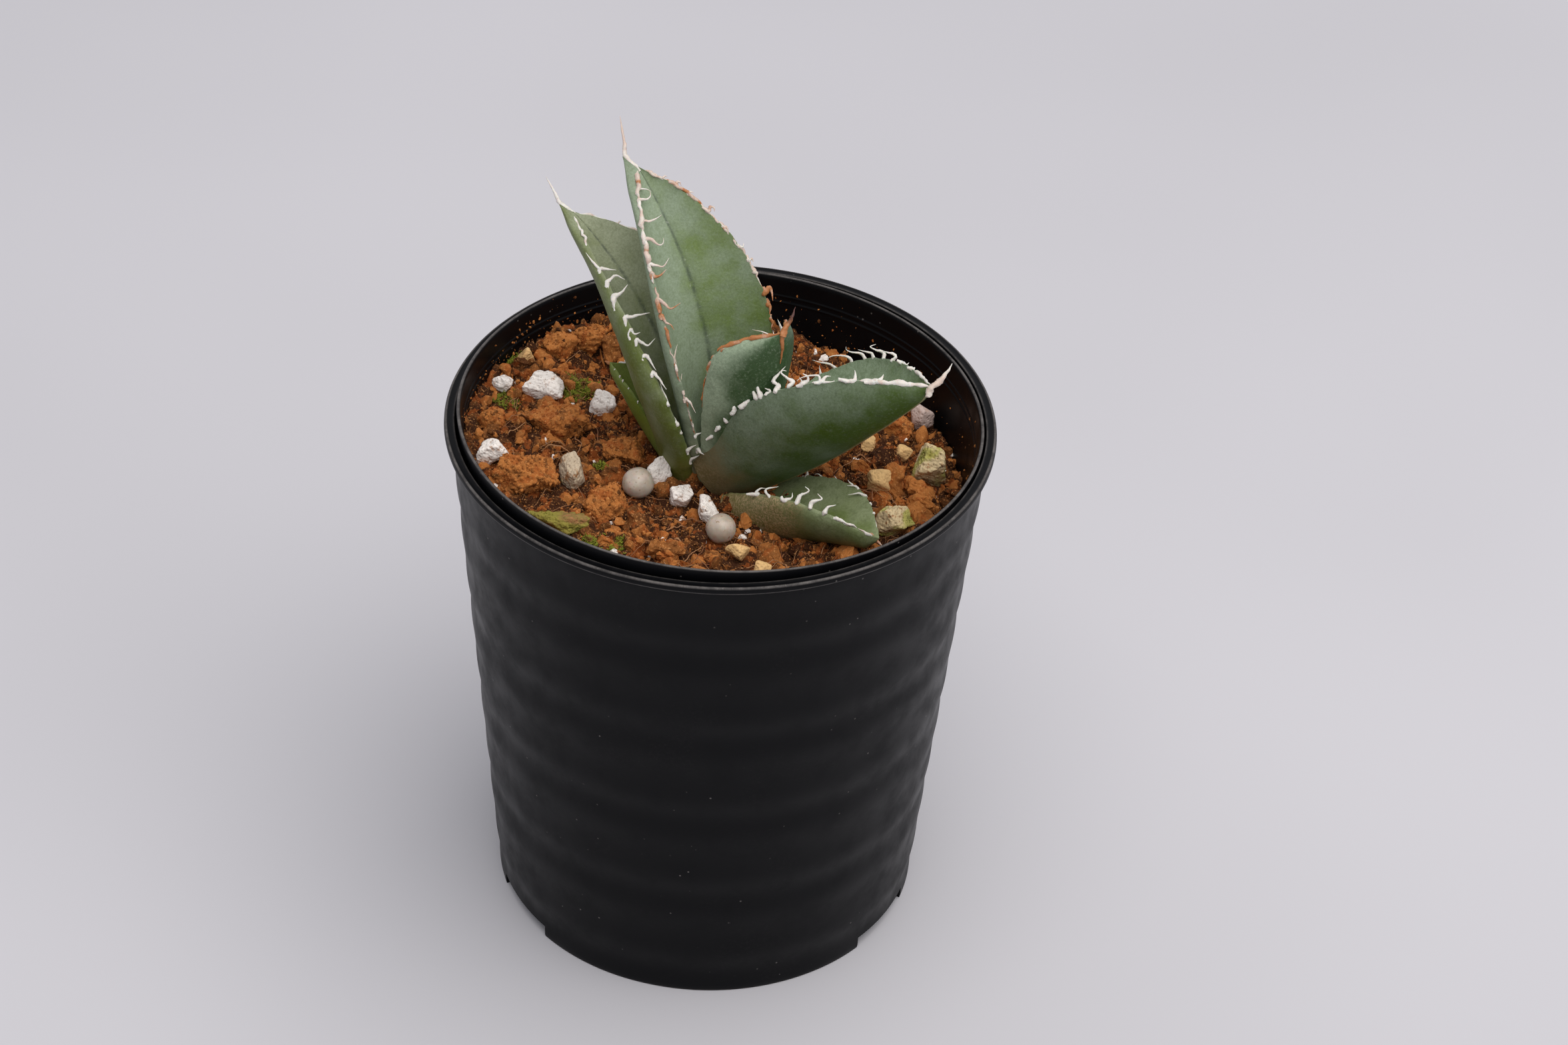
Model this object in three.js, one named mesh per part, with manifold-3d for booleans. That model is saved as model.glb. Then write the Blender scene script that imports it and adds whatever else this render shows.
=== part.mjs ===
// Potted agave: a young rosette of six toothed leaves on a short stem, growing in a granular mix
// that fills a thin black nursery pot, which stands inside a second, slightly wider one.
// Millimetres and degrees, +Z up. The origin is the centre of the outer pot's foot; -Y is the front.
import * as THREE from 'three';
import { mergeVertices } from 'three/addons/utils/BufferGeometryUtils.js';
import Module from 'manifold-3d';

const wasm = await Module();
wasm.setup();

// ---------------------------------------------------------------- driving dimensions

const GAP = 0.3;                 // left between two pieces that touch
const POT_FACETS = 48;           // sides of a pot's round wall
const TURN = THREE.MathUtils.degToRad;

const OUTER = {
  height: 94.3, lipRadius: 45, lipBore: 43.25, lipHeight: 1.2, lipUnderside: 0.7,
  wallTop: 43.9, footRadius: 36.2, footWidth: 1.5, wall: 0.8,
  waves: 10, waveDepth: 0.25,
  floorUnderside: 2.5, floorTop: 3.4, floorFillet: 0.6, edgeRound: 0.25,
  notchCount: 3, notchFirst: 90, notchSweep: 24, notchHeight: 2.4,
};

const INNER = {
  height: 90.8, rimRadius: 42.95, footRadius: 32.2, wall: 0.6, floor: 0.9,
  rimCentreHeight: 95.4, tiltAcross: 0.023, tiltBack: 0.017,    // rises per mm to the left and front
};

const DRAIN = { radius: 3.5, ringRadius: 25, facets: 10, cut: 4 };

const MIX = {
  centreHeight: 86, fallPerMm: 0.12,           // banked up on the left
  hollowDepth: 1.5, hollowRadius: 12,          // dip round the stem
  belowRim: 8,                                 // typical depth of its surface
  lumpHeight: 0.5, rings: 8, spokes: 36,
};

const ROSETTE = { x: -0.5, y: -2.5 };
const STEM = { radius: 2.6, rootRadius: 1.6, neckRadius: 1.6, bottom: 66, shoulder: 79, top: 82.6 };

// One row for each leaf. Azimuth is counted from +X towards +Y. Rise is the midrib's angle above
// level, fold the angle of a half blade above the rib's own plane, and turn the blade's roll about
// its rib. Root share is the root's width as a share of the widest place.
const LEAVES = {
  leaf_center: {
    colour: 0x4c6b50, azimuth: -44, swing: -1, rootRadius: 1.8, rootHeight: 83.2,
    riseAtRoot: 59, riseAtTip: 86, length: 38.5, halfWidth: 10.8, widestAt: 0.74, rootShare: 0.5,
    tipPower: 3, foldAtRib: 17, foldLeft: 76, foldRight: 66, turnAtRoot: 4, turnGain: 3,
    thickness: 1.6, spineLength: 5, spineRise: 70, spineSwing: 60, spineRadius: 0.8,
    teethLeft: 3, teethRight: 4, toothLength: 1.3, toothLean: 0.4, toothFrom: 0.6,
  },
  leaf_tall_back: {
    colour: 0x5f7f66, azimuth: 140, swing: 0, rootRadius: 2.5, rootHeight: 82.5,
    riseAtRoot: 104, riseAtTip: 40, length: 59, halfWidth: 10.7, widestAt: 0.51, rootShare: 0.28,
    tipPower: 1.75, foldAtRib: 6, foldLeft: 72, foldRight: 24, turnAtRoot: 16, turnGain: 20,
    thickness: 2.7, spineLength: 9, spineRise: 80, spineSwing: 20, spineRadius: 0.85,
    teethLeft: 12, teethRight: 11, toothLength: 2.8, toothLean: 0.3, toothFrom: 0.12,
  },
  leaf_left: {
    colour: 0x5a7a5e, azimuth: 153, swing: -4, rootRadius: 4.9, rootHeight: 82.6,
    riseAtRoot: 90.5, riseAtTip: 32, length: 52, halfWidth: 13.5, widestAt: 0.42, rootShare: 0.3,
    tipPower: 1.45, foldAtRib: 0, foldLeft: 104, foldRight: 7, turnAtRoot: 15, turnGain: 23.5,
    thickness: 3.3, spineLength: 6.8, spineRise: 66, spineSwing: -5, spineRadius: 0.85,
    teethLeft: 12, teethRight: 8, toothLength: 2.9, toothLean: 0.3, toothFrom: 0.12,
  },
  leaf_right_large: {
    colour: 0x42633f, azimuth: -26, swing: 1, rootRadius: 2, rootHeight: 84,
    riseAtRoot: 33, riseAtTip: 51, length: 46.5, halfWidth: 16.5, widestAt: 0.44, rootShare: 0.57,
    tipPower: 2.25, foldAtRib: 17, foldLeft: 66, foldRight: 83, turnAtRoot: 11, turnGain: 8,
    thickness: 3, spineLength: 6.2, spineRise: 66, spineSwing: 10, spineRadius: 0.8,
    teethLeft: 11, teethRight: 14, toothLength: 2.4, toothLean: 0.35, toothFrom: 0.1,
  },
  leaf_front_low: {
    colour: 0x55684a, azimuth: -41, swing: 9, rootRadius: 6.2, rootHeight: 82.2,
    riseAtRoot: 28, riseAtTip: -4, length: 27.8, halfWidth: 8, widestAt: 0.57, rootShare: 0.58,
    tipPower: 2.1, foldAtRib: 15, foldLeft: 33, foldRight: 58, turnAtRoot: 6, turnGain: 4,
    thickness: 5, spineLength: 2.2, spineRise: 10, spineSwing: 0, spineRadius: 0.7,
    teethLeft: 7, teethRight: 8, toothLength: 2.2, toothLean: 0.4, toothFrom: 0.2,
  },
  leaf_back_low: {
    colour: 0x5d7a3c, azimuth: 152, swing: 2, rootRadius: 4.3, rootHeight: 82,
    riseAtRoot: 49, riseAtTip: 47, length: 23.7, halfWidth: 8.3, widestAt: 0.43, rootShare: 0.5,
    tipPower: 2.1, foldAtRib: 14, foldLeft: 66, foldRight: 52, turnAtRoot: 0, turnGain: -5,
    thickness: 1.9, spineLength: 1.6, spineRise: 55, spineSwing: 0, spineRadius: 0.6,
    teethLeft: 5, teethRight: 4, toothLength: 1, toothLean: 0.2, toothFrom: 0.35,
  },
};
const BLADE = {
  stations: 12, across: 8, edgeThickness: 0.7, tipHalfWidth: 0.55,
  thinning: 0.75,                // share of the body lost from root to tip
  swellPower: 1.3, sectionPower: 1.5,
};
const SPINE = { sunk: 2.2, towardsAim: 0.5 };
const TOOTH = {
  sides: 3, joints: [0, 0.5], rootRadius: 0.55, sunk: 1.1, hook: 0.33,
  last: 0.93,                    // share of the blade where the teeth end
  backwardShare: 0.35,
};

// One row for each grain lying in the mix: kind, x, y, width across, depth, height, share sunk.
const GRAINS = [
  ['perlite', -36.4, 12.3, 3.6, 3.0, 2.6, 0.35],
  ['perlite', -29.6, 12.6, 7.0, 5.2, 5.0, 0.35],
  ['perlite', -19.7, 9.6, 4.6, 4.4, 5.0, 0.35],
  ['perlite', -37.0, -7.4, 5.4, 4.6, 4.8, 0.35],
  ['perlite', -9.6, -6.4, 4.0, 4.6, 5.6, 0.3],
  ['perlite', -5.9, -12.2, 3.9, 3.9, 4.6, 0.3],
  ['perlite', -1.4, -15.2, 3.9, 3.6, 4.6, 0.3],
  ['stone_pink', 33.8, 17.6, 4.2, 4.0, 5.2, 0.3],
  ['clod', -30.6, -12.6, 10.4, 8.6, 8.0, 0.45],
  ['clod', -27.0, 3.4, 11.0, 7.0, 6.0, 0.45],
  ['clod', -17.6, -17.0, 8.0, 6.6, 6.6, 0.4],
  ['clod', -37.6, 1.6, 4.6, 4.4, 4.6, 0.4],
  ['clod', -27.6, 24.8, 6.0, 5.0, 5.0, 0.35],
  ['clod', -22.8, 27.6, 6.4, 5.2, 5.0, 0.35],
  ['clod', -15.8, -1.6, 7.4, 5.0, 4.6, 0.5],
  ['clod', 29.0, 16.0, 7.4, 6.0, 5.0, 0.5],
  ['pumice', -23.6, -10.8, 4.2, 5.6, 6.6, 0.4],
  ['fertiliser', -13.0, -10.6, 5.2, 5.2, 5.0, 0.3],
  ['fertiliser', 0.6, -20.2, 4.9, 4.9, 4.9, 0.25],
  ['moss_clump', -25.4, -23.0, 10.6, 4.6, 3.6, 0.4],
  ['pebble', -33.0, 21.0, 2.8, 2.6, 2.8, 0.4],
  ['pebble', 3.6, -25.2, 3.9, 3.0, 3.4, 0.3],
  ['pebble', 7.4, -28.2, 3.2, 2.6, 2.8, 0.35],
  ['pebble', 26.2, -1.6, 4.3, 3.8, 4.4, 0.3],
  ['pebble', 30.6, 7.8, 3.0, 2.6, 2.6, 0.35],
  ['pebble', 24.6, 9.0, 2.6, 2.4, 2.4, 0.35],
  ['stone_mossy', 34.6, 2.4, 5.8, 5.6, 9.0, 0.3],
  ['stone_mossy', 28.6, -12.4, 7.0, 5.2, 5.8, 0.35],
];
const SMALL_GRAIN = 4.5;         // narrower grains have fewer faces
const GRAIN_LOOK = {
  perlite: { colour: 0xcfc8c2, roughness: 0.95, rough: 0.12 },
  stone_pink: { colour: 0xc4b0a6, roughness: 0.85, rough: 0.12 },
  clod: { colour: 0x6e3f22, roughness: 1, rough: 0.2 },
  pumice: { colour: 0x8d7d68, roughness: 0.95, rough: 0.16 },
  fertiliser: { colour: 0x8b8076, roughness: 0.45, rough: 0.0 },
  moss_clump: { colour: 0x66682c, roughness: 1, rough: 0.22 },
  pebble: { colour: 0xb98e58, roughness: 0.8, rough: 0.14 },
  stone_mossy: { colour: 0x8f8b62, roughness: 0.95, rough: 0.16 },
};

const BLACK_PLASTIC = { color: 0x17181b, roughness: 0.45, metalness: 0 };
const MIX_FINISH = { color: 0x5a3018, roughness: 1, metalness: 0 };
const STEM_FINISH = { color: 0x7d8a45, roughness: 0.8, metalness: 0 };

// ---------------------------------------------------------------- small helpers

// Repeatable noise from whole numbers, between 0 and 1.
function chance(...seeds) {
  let h = 2166136261;
  for (const seed of seeds) {
    h = Math.imul(h ^ (seed | 0), 16777619);
    h ^= h >>> 13;
  }
  h = Math.imul(h ^ (h >>> 16), 2246822519);
  return ((h ^ (h >>> 15)) >>> 0) / 4294967296;
}

function merged(geometry) {
  const bare = geometry.index ? geometry.toNonIndexed() : geometry.clone();
  for (const name of Object.keys(bare.attributes)) {
    if (name !== 'position') bare.deleteAttribute(name);
  }
  return mergeVertices(bare, 1e-3);
}

// Closed solid from a geometry, turned inside out first if its faces point inwards.
function solid(geometry) {
  const shape = merged(geometry);
  const vertProperties = new Float32Array(shape.attributes.position.array);
  const triVerts = new Uint32Array(shape.index.array);
  const a = new THREE.Vector3();
  const b = new THREE.Vector3();
  const c = new THREE.Vector3();
  let volume = 0;
  for (let i = 0; i < triVerts.length; i += 3) {
    a.fromArray(vertProperties, 3 * triVerts[i]);
    b.fromArray(vertProperties, 3 * triVerts[i + 1]);
    c.fromArray(vertProperties, 3 * triVerts[i + 2]);
    volume += a.dot(b.cross(c));
  }
  if (volume < 0) {
    for (let i = 0; i < triVerts.length; i += 3) {
      [triVerts[i], triVerts[i + 1]] = [triVerts[i + 1], triVerts[i]];
    }
  }
  return new wasm.Manifold(new wasm.Mesh({ numProp: 3, vertProperties, triVerts }));
}

// The biggest connected piece of a solid: scraps that a cut leaves are dropped.
function mainBody(shape) {
  const pieces = shape.decompose();
  return pieces.reduce((best, piece) => (piece.volume() > best.volume() ? piece : best));
}

function toMesh(shape, name, finish) {
  const cut = mainBody(shape).getMesh();
  const geometry = new THREE.BufferGeometry();
  geometry.setAttribute('position', new THREE.Float32BufferAttribute(cut.vertProperties, 3));
  geometry.setIndex(Array.from(cut.triVerts));
  geometry.computeVertexNormals();
  const mesh = new THREE.Mesh(geometry, new THREE.MeshStandardMaterial(finish));
  mesh.name = name;
  return mesh;
}

// Turns a profile of [radius, height] points about the Z axis.
function turned(profile, facets) {
  const points = profile.map(([r, z]) => new THREE.Vector2(r, z));
  return new THREE.LatheGeometry(points, facets).rotateX(Math.PI / 2);
}

// Closed skin over rings of points that all have the same count. Each ring is a flat ribbon, its
// first half one face and its second half the other, so each end is closed as a strip.
function ribbonSkin(rings) {
  const count = rings[0].length;
  const half = count / 2;
  const index = [];
  for (let i = 0; i < rings.length - 1; i++) {
    for (let j = 0; j < count; j++) {
      const k = (j + 1) % count;
      const here = i * count;
      const next = here + count;
      // the same diagonal on both faces of the ribbon
      if (j < half) index.push(here + j, here + k, next + k, here + j, next + k, next + j);
      else index.push(here + j, here + k, next + j, here + k, next + k, next + j);
    }
  }
  const last = (rings.length - 1) * count;
  for (let j = 0; j < half - 1; j++) {
    const k = count - 1 - j;
    index.push(j, k, k - 1, j, k - 1, j + 1);
    index.push(last + j, last + k - 1, last + k, last + j, last + j + 1, last + k - 1);
  }
  const geometry = new THREE.BufferGeometry();
  const flat = rings.flat().flatMap((p) => p.toArray());
  geometry.setAttribute('position', new THREE.Float32BufferAttribute(flat, 3));
  geometry.setIndex(index);
  return geometry;
}

// ---------------------------------------------------------------- pots

function drainHoles(floorHeight) {
  const places = [[0, 0]];
  for (let i = 0; i < OUTER.notchCount; i++) {
    const angle = TURN(OUTER.notchFirst + (360 / OUTER.notchCount) * i);
    places.push([DRAIN.ringRadius * Math.cos(angle), DRAIN.ringRadius * Math.sin(angle)]);
  }
  return places.map(([x, y]) => {
    const pin = new THREE.CylinderGeometry(DRAIN.radius, DRAIN.radius, DRAIN.cut, DRAIN.facets);
    return solid(pin.rotateX(Math.PI / 2).translate(x, y, floorHeight));
  });
}

function outerPot() {
  const o = OUTER;
  const wallEnd = o.height - o.lipHeight - o.lipUnderside;
  const profile = [[0, o.floorUnderside], [o.footRadius - o.footWidth, o.floorUnderside]];
  profile.push([o.footRadius - o.footWidth, 0], [o.footRadius, 0]);
  const crests = 2 * o.waves;
  for (let i = 1; i < crests; i++) {
    const share = i / crests;
    const wave = i % 2 ? o.waveDepth : 0;
    profile.push([o.footRadius + (o.wallTop - o.footRadius) * share - wave, wallEnd * share]);
  }
  profile.push([o.wallTop, wallEnd], [o.lipRadius, o.height - o.lipHeight]);
  profile.push([o.lipRadius, o.height - o.edgeRound], [o.lipRadius - o.edgeRound, o.height]);
  profile.push([o.lipBore, o.height]);
  const bore = o.footRadius - o.wall + o.floorFillet / 2;
  profile.push([bore, o.floorTop + o.floorFillet], [bore - o.floorFillet, o.floorTop]);
  profile.push([0, o.floorTop]);
  let pot = solid(turned(profile, POT_FACETS));

  for (let i = 0; i < o.notchCount; i++) {
    const chord = 2 * o.footRadius * Math.sin(TURN(o.notchSweep / 2));
    const block = new THREE.BoxGeometry(4 * o.footWidth, chord, 2 * o.notchHeight);
    block.translate(o.footRadius, 0, 0);
    block.rotateZ(TURN(o.notchFirst + (360 / o.notchCount) * i));
    pot = pot.subtract(solid(block));
  }
  for (const hole of drainHoles(o.floorTop)) pot = pot.subtract(hole);
  return pot;
}

// Outside radius of the inner pot at a height above its own floor.
function innerRadius(height) {
  return INNER.footRadius + ((INNER.rimRadius - INNER.footRadius) * height) / INNER.height;
}

function innerPot() {
  const n = INNER;
  const profile = [[0, 0], [n.footRadius, 0], [n.rimRadius, n.height]];
  profile.push([n.rimRadius - n.wall, n.height], [innerRadius(n.floor) - n.wall, n.floor]);
  profile.push([0, n.floor]);
  let pot = solid(turned(profile, POT_FACETS));
  for (const hole of drainHoles(0)) pot = pot.subtract(hole);
  return pot;
}

// Place of the tilted inner pot: its rim's centre lies on the outer pot's axis.
function innerPlace() {
  const up = new THREE.Vector3(INNER.tiltAcross, INNER.tiltBack, 1).normalize();
  const turn = new THREE.Quaternion().setFromUnitVectors(new THREE.Vector3(0, 0, 1), up);
  const place = new THREE.Vector3(0, 0, INNER.rimCentreHeight).addScaledVector(up, -INNER.height);
  return new THREE.Matrix4().compose(place, turn, new THREE.Vector3(1, 1, 1));
}

// ---------------------------------------------------------------- potting mix

function mixHeight(x, y) {
  const dx = x - ROSETTE.x;
  const dy = y - ROSETTE.y;
  const hollow = Math.exp(-(dx * dx + dy * dy) / MIX.hollowRadius ** 2);
  return MIX.centreHeight - MIX.fallPerMm * x - MIX.hollowDepth * hollow;
}

function pottingMix() {
  const toWorld = innerPlace();
  const toPot = toWorld.clone().invert();
  const floor = INNER.floor + GAP;
  const points = [new THREE.Vector3(0, 0, floor)];
  const ringStart = [];
  const addRing = (place) => {
    ringStart.push(points.length);
    for (let j = 0; j < MIX.spokes; j++) points.push(place((2 * Math.PI * j) / MIX.spokes, j));
  };
  addRing((angle) => {
    const r = innerRadius(floor) - INNER.wall - GAP;
    return new THREE.Vector3(r * Math.cos(angle), r * Math.sin(angle), floor);
  });
  for (let i = 0; i < MIX.rings; i++) {
    const share = 1 - i / MIX.rings;
    addRing((angle, j) => {
      const reach = (innerRadius(INNER.height - MIX.belowRim) - INNER.wall - GAP) * share;
      const p = new THREE.Vector3(reach * Math.cos(angle), reach * Math.sin(angle), 0);
      p.z = mixHeight(p.x, p.y) + MIX.lumpHeight * (2 * chance(i, j, 5) - 1);
      p.applyMatrix4(toPot);
      const edge = (innerRadius(p.z) - INNER.wall - GAP) * share;
      const scale = edge / Math.hypot(p.x, p.y);
      return new THREE.Vector3(p.x * scale, p.y * scale, p.z);
    });
  }
  points.push(new THREE.Vector3(0, 0, mixHeight(0, 0)).applyMatrix4(toPot));

  const index = [];
  const n = MIX.spokes;
  for (let j = 0; j < n; j++) {
    const k = (j + 1) % n;
    index.push(0, ringStart[0] + k, ringStart[0] + j);
    for (let i = 0; i < ringStart.length - 1; i++) {
      const [a, b] = [ringStart[i], ringStart[i + 1]];
      index.push(a + j, a + k, b + k, a + j, b + k, b + j);
    }
    const inner = ringStart[ringStart.length - 1];
    index.push(inner + j, inner + k, points.length - 1);
  }
  const geometry = new THREE.BufferGeometry();
  const flat = points.flatMap((p) => p.toArray());
  geometry.setAttribute('position', new THREE.Float32BufferAttribute(flat, 3));
  geometry.setIndex(index);
  return solid(geometry.applyMatrix4(toWorld));
}

// ---------------------------------------------------------------- stem and leaves

function stem(grow) {
  const s = STEM;
  const profile = [[0, s.bottom - grow], [s.rootRadius + grow, s.bottom - grow]];
  profile.push([s.radius + grow, s.bottom + s.radius], [s.radius + grow, s.shoulder]);
  profile.push([s.neckRadius + grow, s.top + grow], [0, s.top + grow]);
  return solid(turned(profile, 12).translate(ROSETTE.x, ROSETTE.y, 0));
}

// Place and directions along a leaf's midrib: along it, to its right and up out of its channel.
function ribFrames(leaf) {
  const frames = [];
  const start = TURN(leaf.azimuth);
  const at = new THREE.Vector3(ROSETTE.x, ROSETTE.y, leaf.rootHeight);
  at.x += leaf.rootRadius * Math.cos(start);
  at.y += leaf.rootRadius * Math.sin(start);
  const step = leaf.length / BLADE.stations;
  let before = null;
  for (let i = 0; i <= BLADE.stations; i++) {
    const t = i / BLADE.stations;
    const rise = TURN(THREE.MathUtils.lerp(leaf.riseAtRoot, leaf.riseAtTip, t));
    const azimuth = TURN(leaf.azimuth + leaf.swing * t);
    const along = new THREE.Vector3(Math.cos(azimuth), Math.sin(azimuth), 0)
      .multiplyScalar(Math.cos(rise)).setZ(Math.sin(rise));
    if (before) at.addScaledVector(before.add(along), step / 2);
    const level = new THREE.Vector3(Math.sin(azimuth), -Math.cos(azimuth), 0);
    const out = new THREE.Vector3().crossVectors(level, along);
    const turn = TURN(leaf.turnAtRoot + leaf.turnGain * t);
    const right = level.clone().multiplyScalar(Math.cos(turn)).addScaledVector(out, Math.sin(turn));
    const up = out.multiplyScalar(Math.cos(turn)).addScaledVector(level, -Math.sin(turn));
    frames.push({ t, at: at.clone(), along, right, up });
    before = along.clone();
  }
  return frames;
}

function halfWidth(leaf, t) {
  if (t < leaf.widestAt) {
    const swell = Math.sin((Math.PI / 2) * (t / leaf.widestAt)) ** BLADE.swellPower;
    return leaf.halfWidth * (leaf.rootShare + (1 - leaf.rootShare) * swell);
  }
  const past = (t - leaf.widestAt) / (1 - leaf.widestAt);
  return Math.max(BLADE.tipHalfWidth, leaf.halfWidth * (1 - past ** leaf.tipPower));
}

// Point of the channel's face at a share v from the midrib (0) to an edge (-1 left, 1 right),
// with the direction across the blade there and the direction out of the face.
function bladePoint(leaf, frame, v) {
  const side = Math.sign(v) || 1;
  const share = Math.abs(v);
  const fold = side < 0 ? leaf.foldLeft : leaf.foldRight;
  const width = halfWidth(leaf, frame.t);
  const slices = 8;
  let across = 0;
  let rise = 0;
  for (let i = 0; i < slices; i++) {
    const at = (share * (i + 0.5)) / slices;
    const angle = TURN(THREE.MathUtils.lerp(leaf.foldAtRib, fold, at));
    across += (Math.cos(angle) * share) / slices;
    rise += (Math.sin(angle) * share) / slices;
  }
  const end = TURN(THREE.MathUtils.lerp(leaf.foldAtRib, fold, share));
  const point = frame.at.clone()
    .addScaledVector(frame.right, side * width * across)
    .addScaledVector(frame.up, width * rise);
  const outward = frame.right.clone().multiplyScalar(side * Math.cos(end))
    .addScaledVector(frame.up, Math.sin(end));
  const facing = frame.right.clone().multiplyScalar(-side * Math.sin(end))
    .addScaledVector(frame.up, Math.cos(end));
  return { point, outward, facing };
}

function bladeThickness(leaf, t, v) {
  const body = leaf.thickness * (1 - Math.abs(v) ** BLADE.sectionPower) * (1 - BLADE.thinning * t);
  return body + BLADE.edgeThickness;
}

function blade(leaf, grow) {
  const rings = ribFrames(leaf).map((frame) => {
    const channelFace = [];
    const backFace = [];
    for (let j = 0; j <= BLADE.across; j++) {
      const v = (2 * j) / BLADE.across - 1;
      const { point, outward, facing } = bladePoint(leaf, frame, v);
      if (Math.abs(v) === 1) point.addScaledVector(outward, grow);
      if (frame.t === 1) point.addScaledVector(frame.along, grow);
      const depth = bladeThickness(leaf, frame.t, v) + grow;
      channelFace.push(point.clone().addScaledVector(facing, grow));
      backFace.unshift(point.clone().addScaledVector(facing, -depth));
    }
    return [...channelFace, ...backFace];
  });
  return solid(ribbonSkin(rings));
}

// Hooked thorn: a few-sided cone along a bent line.
function thorn(root, direction, hook, length, radius, grow) {
  const shares = TOOTH.joints;
  const aside = new THREE.Vector3().crossVectors(direction, hook).normalize();
  const other = new THREE.Vector3().crossVectors(aside, direction).normalize();
  const points = [];
  const onLine = (s) => root.clone().addScaledVector(direction, (length + grow) * s)
    .addScaledVector(hook, length * s * s);
  for (const s of shares) {
    for (let j = 0; j < TOOTH.sides; j++) {
      const angle = (2 * Math.PI * (j + 0.5)) / TOOTH.sides;
      const r = radius * (1 - s) ** 0.8 + grow;
      points.push(onLine(s).addScaledVector(aside, r * Math.cos(angle))
        .addScaledVector(other, r * Math.sin(angle)));
    }
  }
  points.push(onLine(1));
  const index = [];
  const n = TOOTH.sides;
  for (let j = 0; j < n; j++) {
    const k = (j + 1) % n;
    for (let i = 0; i < shares.length - 1; i++) {
      const a = i * n;
      const b = a + n;
      index.push(a + j, a + k, b + k, a + j, b + k, b + j);
    }
    index.push((shares.length - 1) * n + j, (shares.length - 1) * n + k, points.length - 1);
    if (j > 1) index.push(0, j, j - 1);
  }
  const geometry = new THREE.BufferGeometry();
  geometry.setAttribute('position',
    new THREE.Float32BufferAttribute(points.flatMap((p) => p.toArray()), 3));
  geometry.setIndex(index);
  return solid(geometry);
}

function frameAt(frames, t) {
  const place = t * (frames.length - 1);
  const i = Math.min(Math.floor(place), frames.length - 2);
  const mix = place - i;
  const blend = (key) => frames[i][key].clone().lerp(frames[i + 1][key], mix);
  return {
    t, at: blend('at'), along: blend('along').normalize(),
    right: blend('right').normalize(), up: blend('up').normalize(),
  };
}

function teeth(leaf, seed, grow) {
  const frames = ribFrames(leaf);
  const thorns = [];
  for (const [side, count] of [[-1, leaf.teethLeft], [1, leaf.teethRight]]) {
    for (let k = 0; k < count; k++) {
      const draw = chance(seed, side, k);
      const t = leaf.toothFrom + (TOOTH.last - leaf.toothFrom) * ((k + 0.25 + 0.5 * draw) / count);
      const frame = frameAt(frames, t);
      const { point, outward, facing } = bladePoint(leaf, frame, side);
      const lean = leaf.toothLean * (chance(seed, side, k, 9) > TOOTH.backwardShare ? 1 : -1);
      const direction = outward.clone().addScaledVector(frame.along, lean).normalize();
      const hook = facing.clone().multiplyScalar(TOOTH.hook * (0.4 + draw))
        .addScaledVector(frame.along, TOOTH.hook * (draw - 0.3));
      const root = point.addScaledVector(facing, -BLADE.edgeThickness / 2)
        .addScaledVector(direction, -TOOTH.sunk);
      const length = leaf.toothLength * (0.75 + 0.5 * draw) + TOOTH.sunk;
      thorns.push(thorn(root, direction, hook, length, TOOTH.rootRadius, grow));
    }
  }
  return thorns;
}

function spine(leaf, grow) {
  const tip = ribFrames(leaf).at(-1);
  const rise = TURN(leaf.spineRise);
  const azimuth = TURN(leaf.azimuth + leaf.swing + leaf.spineSwing);
  const aim = new THREE.Vector3(
    Math.cos(rise) * Math.cos(azimuth), Math.cos(rise) * Math.sin(azimuth), Math.sin(rise),
  );
  const direction = tip.along.clone().lerp(aim, SPINE.towardsAim).normalize();
  const hook = aim.clone().sub(direction);
  const root = tip.at.clone().addScaledVector(tip.up, -BLADE.edgeThickness / 2)
    .addScaledVector(direction, -SPINE.sunk);
  return thorn(root, direction, hook, leaf.spineLength + SPINE.sunk, leaf.spineRadius, grow);
}

function leafSolid(leaf, seed, grow) {
  let shape = blade(leaf, grow);
  for (const thing of [spine(leaf, grow), ...teeth(leaf, seed, grow)]) shape = shape.add(thing);
  return shape;
}

// ---------------------------------------------------------------- grains

function grain(row, seed, grow) {
  const [kind, x, y, width, depth, height, sunk] = row;
  const { rough } = GRAIN_LOOK[kind];
  const ball = merged(new THREE.IcosahedronGeometry(1, width < SMALL_GRAIN ? 0 : 1));
  const at = ball.attributes.position;
  const p = new THREE.Vector3();
  for (let i = 0; i < at.count; i++) {
    p.fromBufferAttribute(at, i);
    p.multiplyScalar(1 - rough + 2 * rough * chance(seed, i));
    at.setXYZ(i, p.x, p.y, p.z);
  }
  ball.scale(width / 2 + grow, depth / 2 + grow, height / 2 + grow);
  ball.rotateZ(chance(seed, 77));
  ball.translate(x, y, mixHeight(x, y) + height * (0.5 - sunk));
  return solid(ball);
}

// ---------------------------------------------------------------- assembly

const plant = new THREE.Group();
plant.add(toMesh(outerPot(), 'outer_pot', BLACK_PLASTIC));

const nestedPot = toMesh(innerPot(), 'inner_pot', BLACK_PLASTIC);
nestedPot.applyMatrix4(innerPlace());
plant.add(nestedPot);

plant.add(toMesh(stem(0), 'stem', STEM_FINISH));

// Leaves from the inside out: each outer leaf is cut back from those that it wraps.
let takenByPlant = stem(GAP);
const leafSolids = [];
Object.entries(LEAVES).forEach(([name, leaf], seed) => {
  const shape = mainBody(leafSolid(leaf, seed, 0).subtract(takenByPlant));
  plant.add(toMesh(shape, name, { color: leaf.colour, roughness: 0.6, metalness: 0 }));
  leafSolids.push(shape);
  takenByPlant = takenByPlant.add(leafSolid(leaf, seed, GAP));
});

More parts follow.
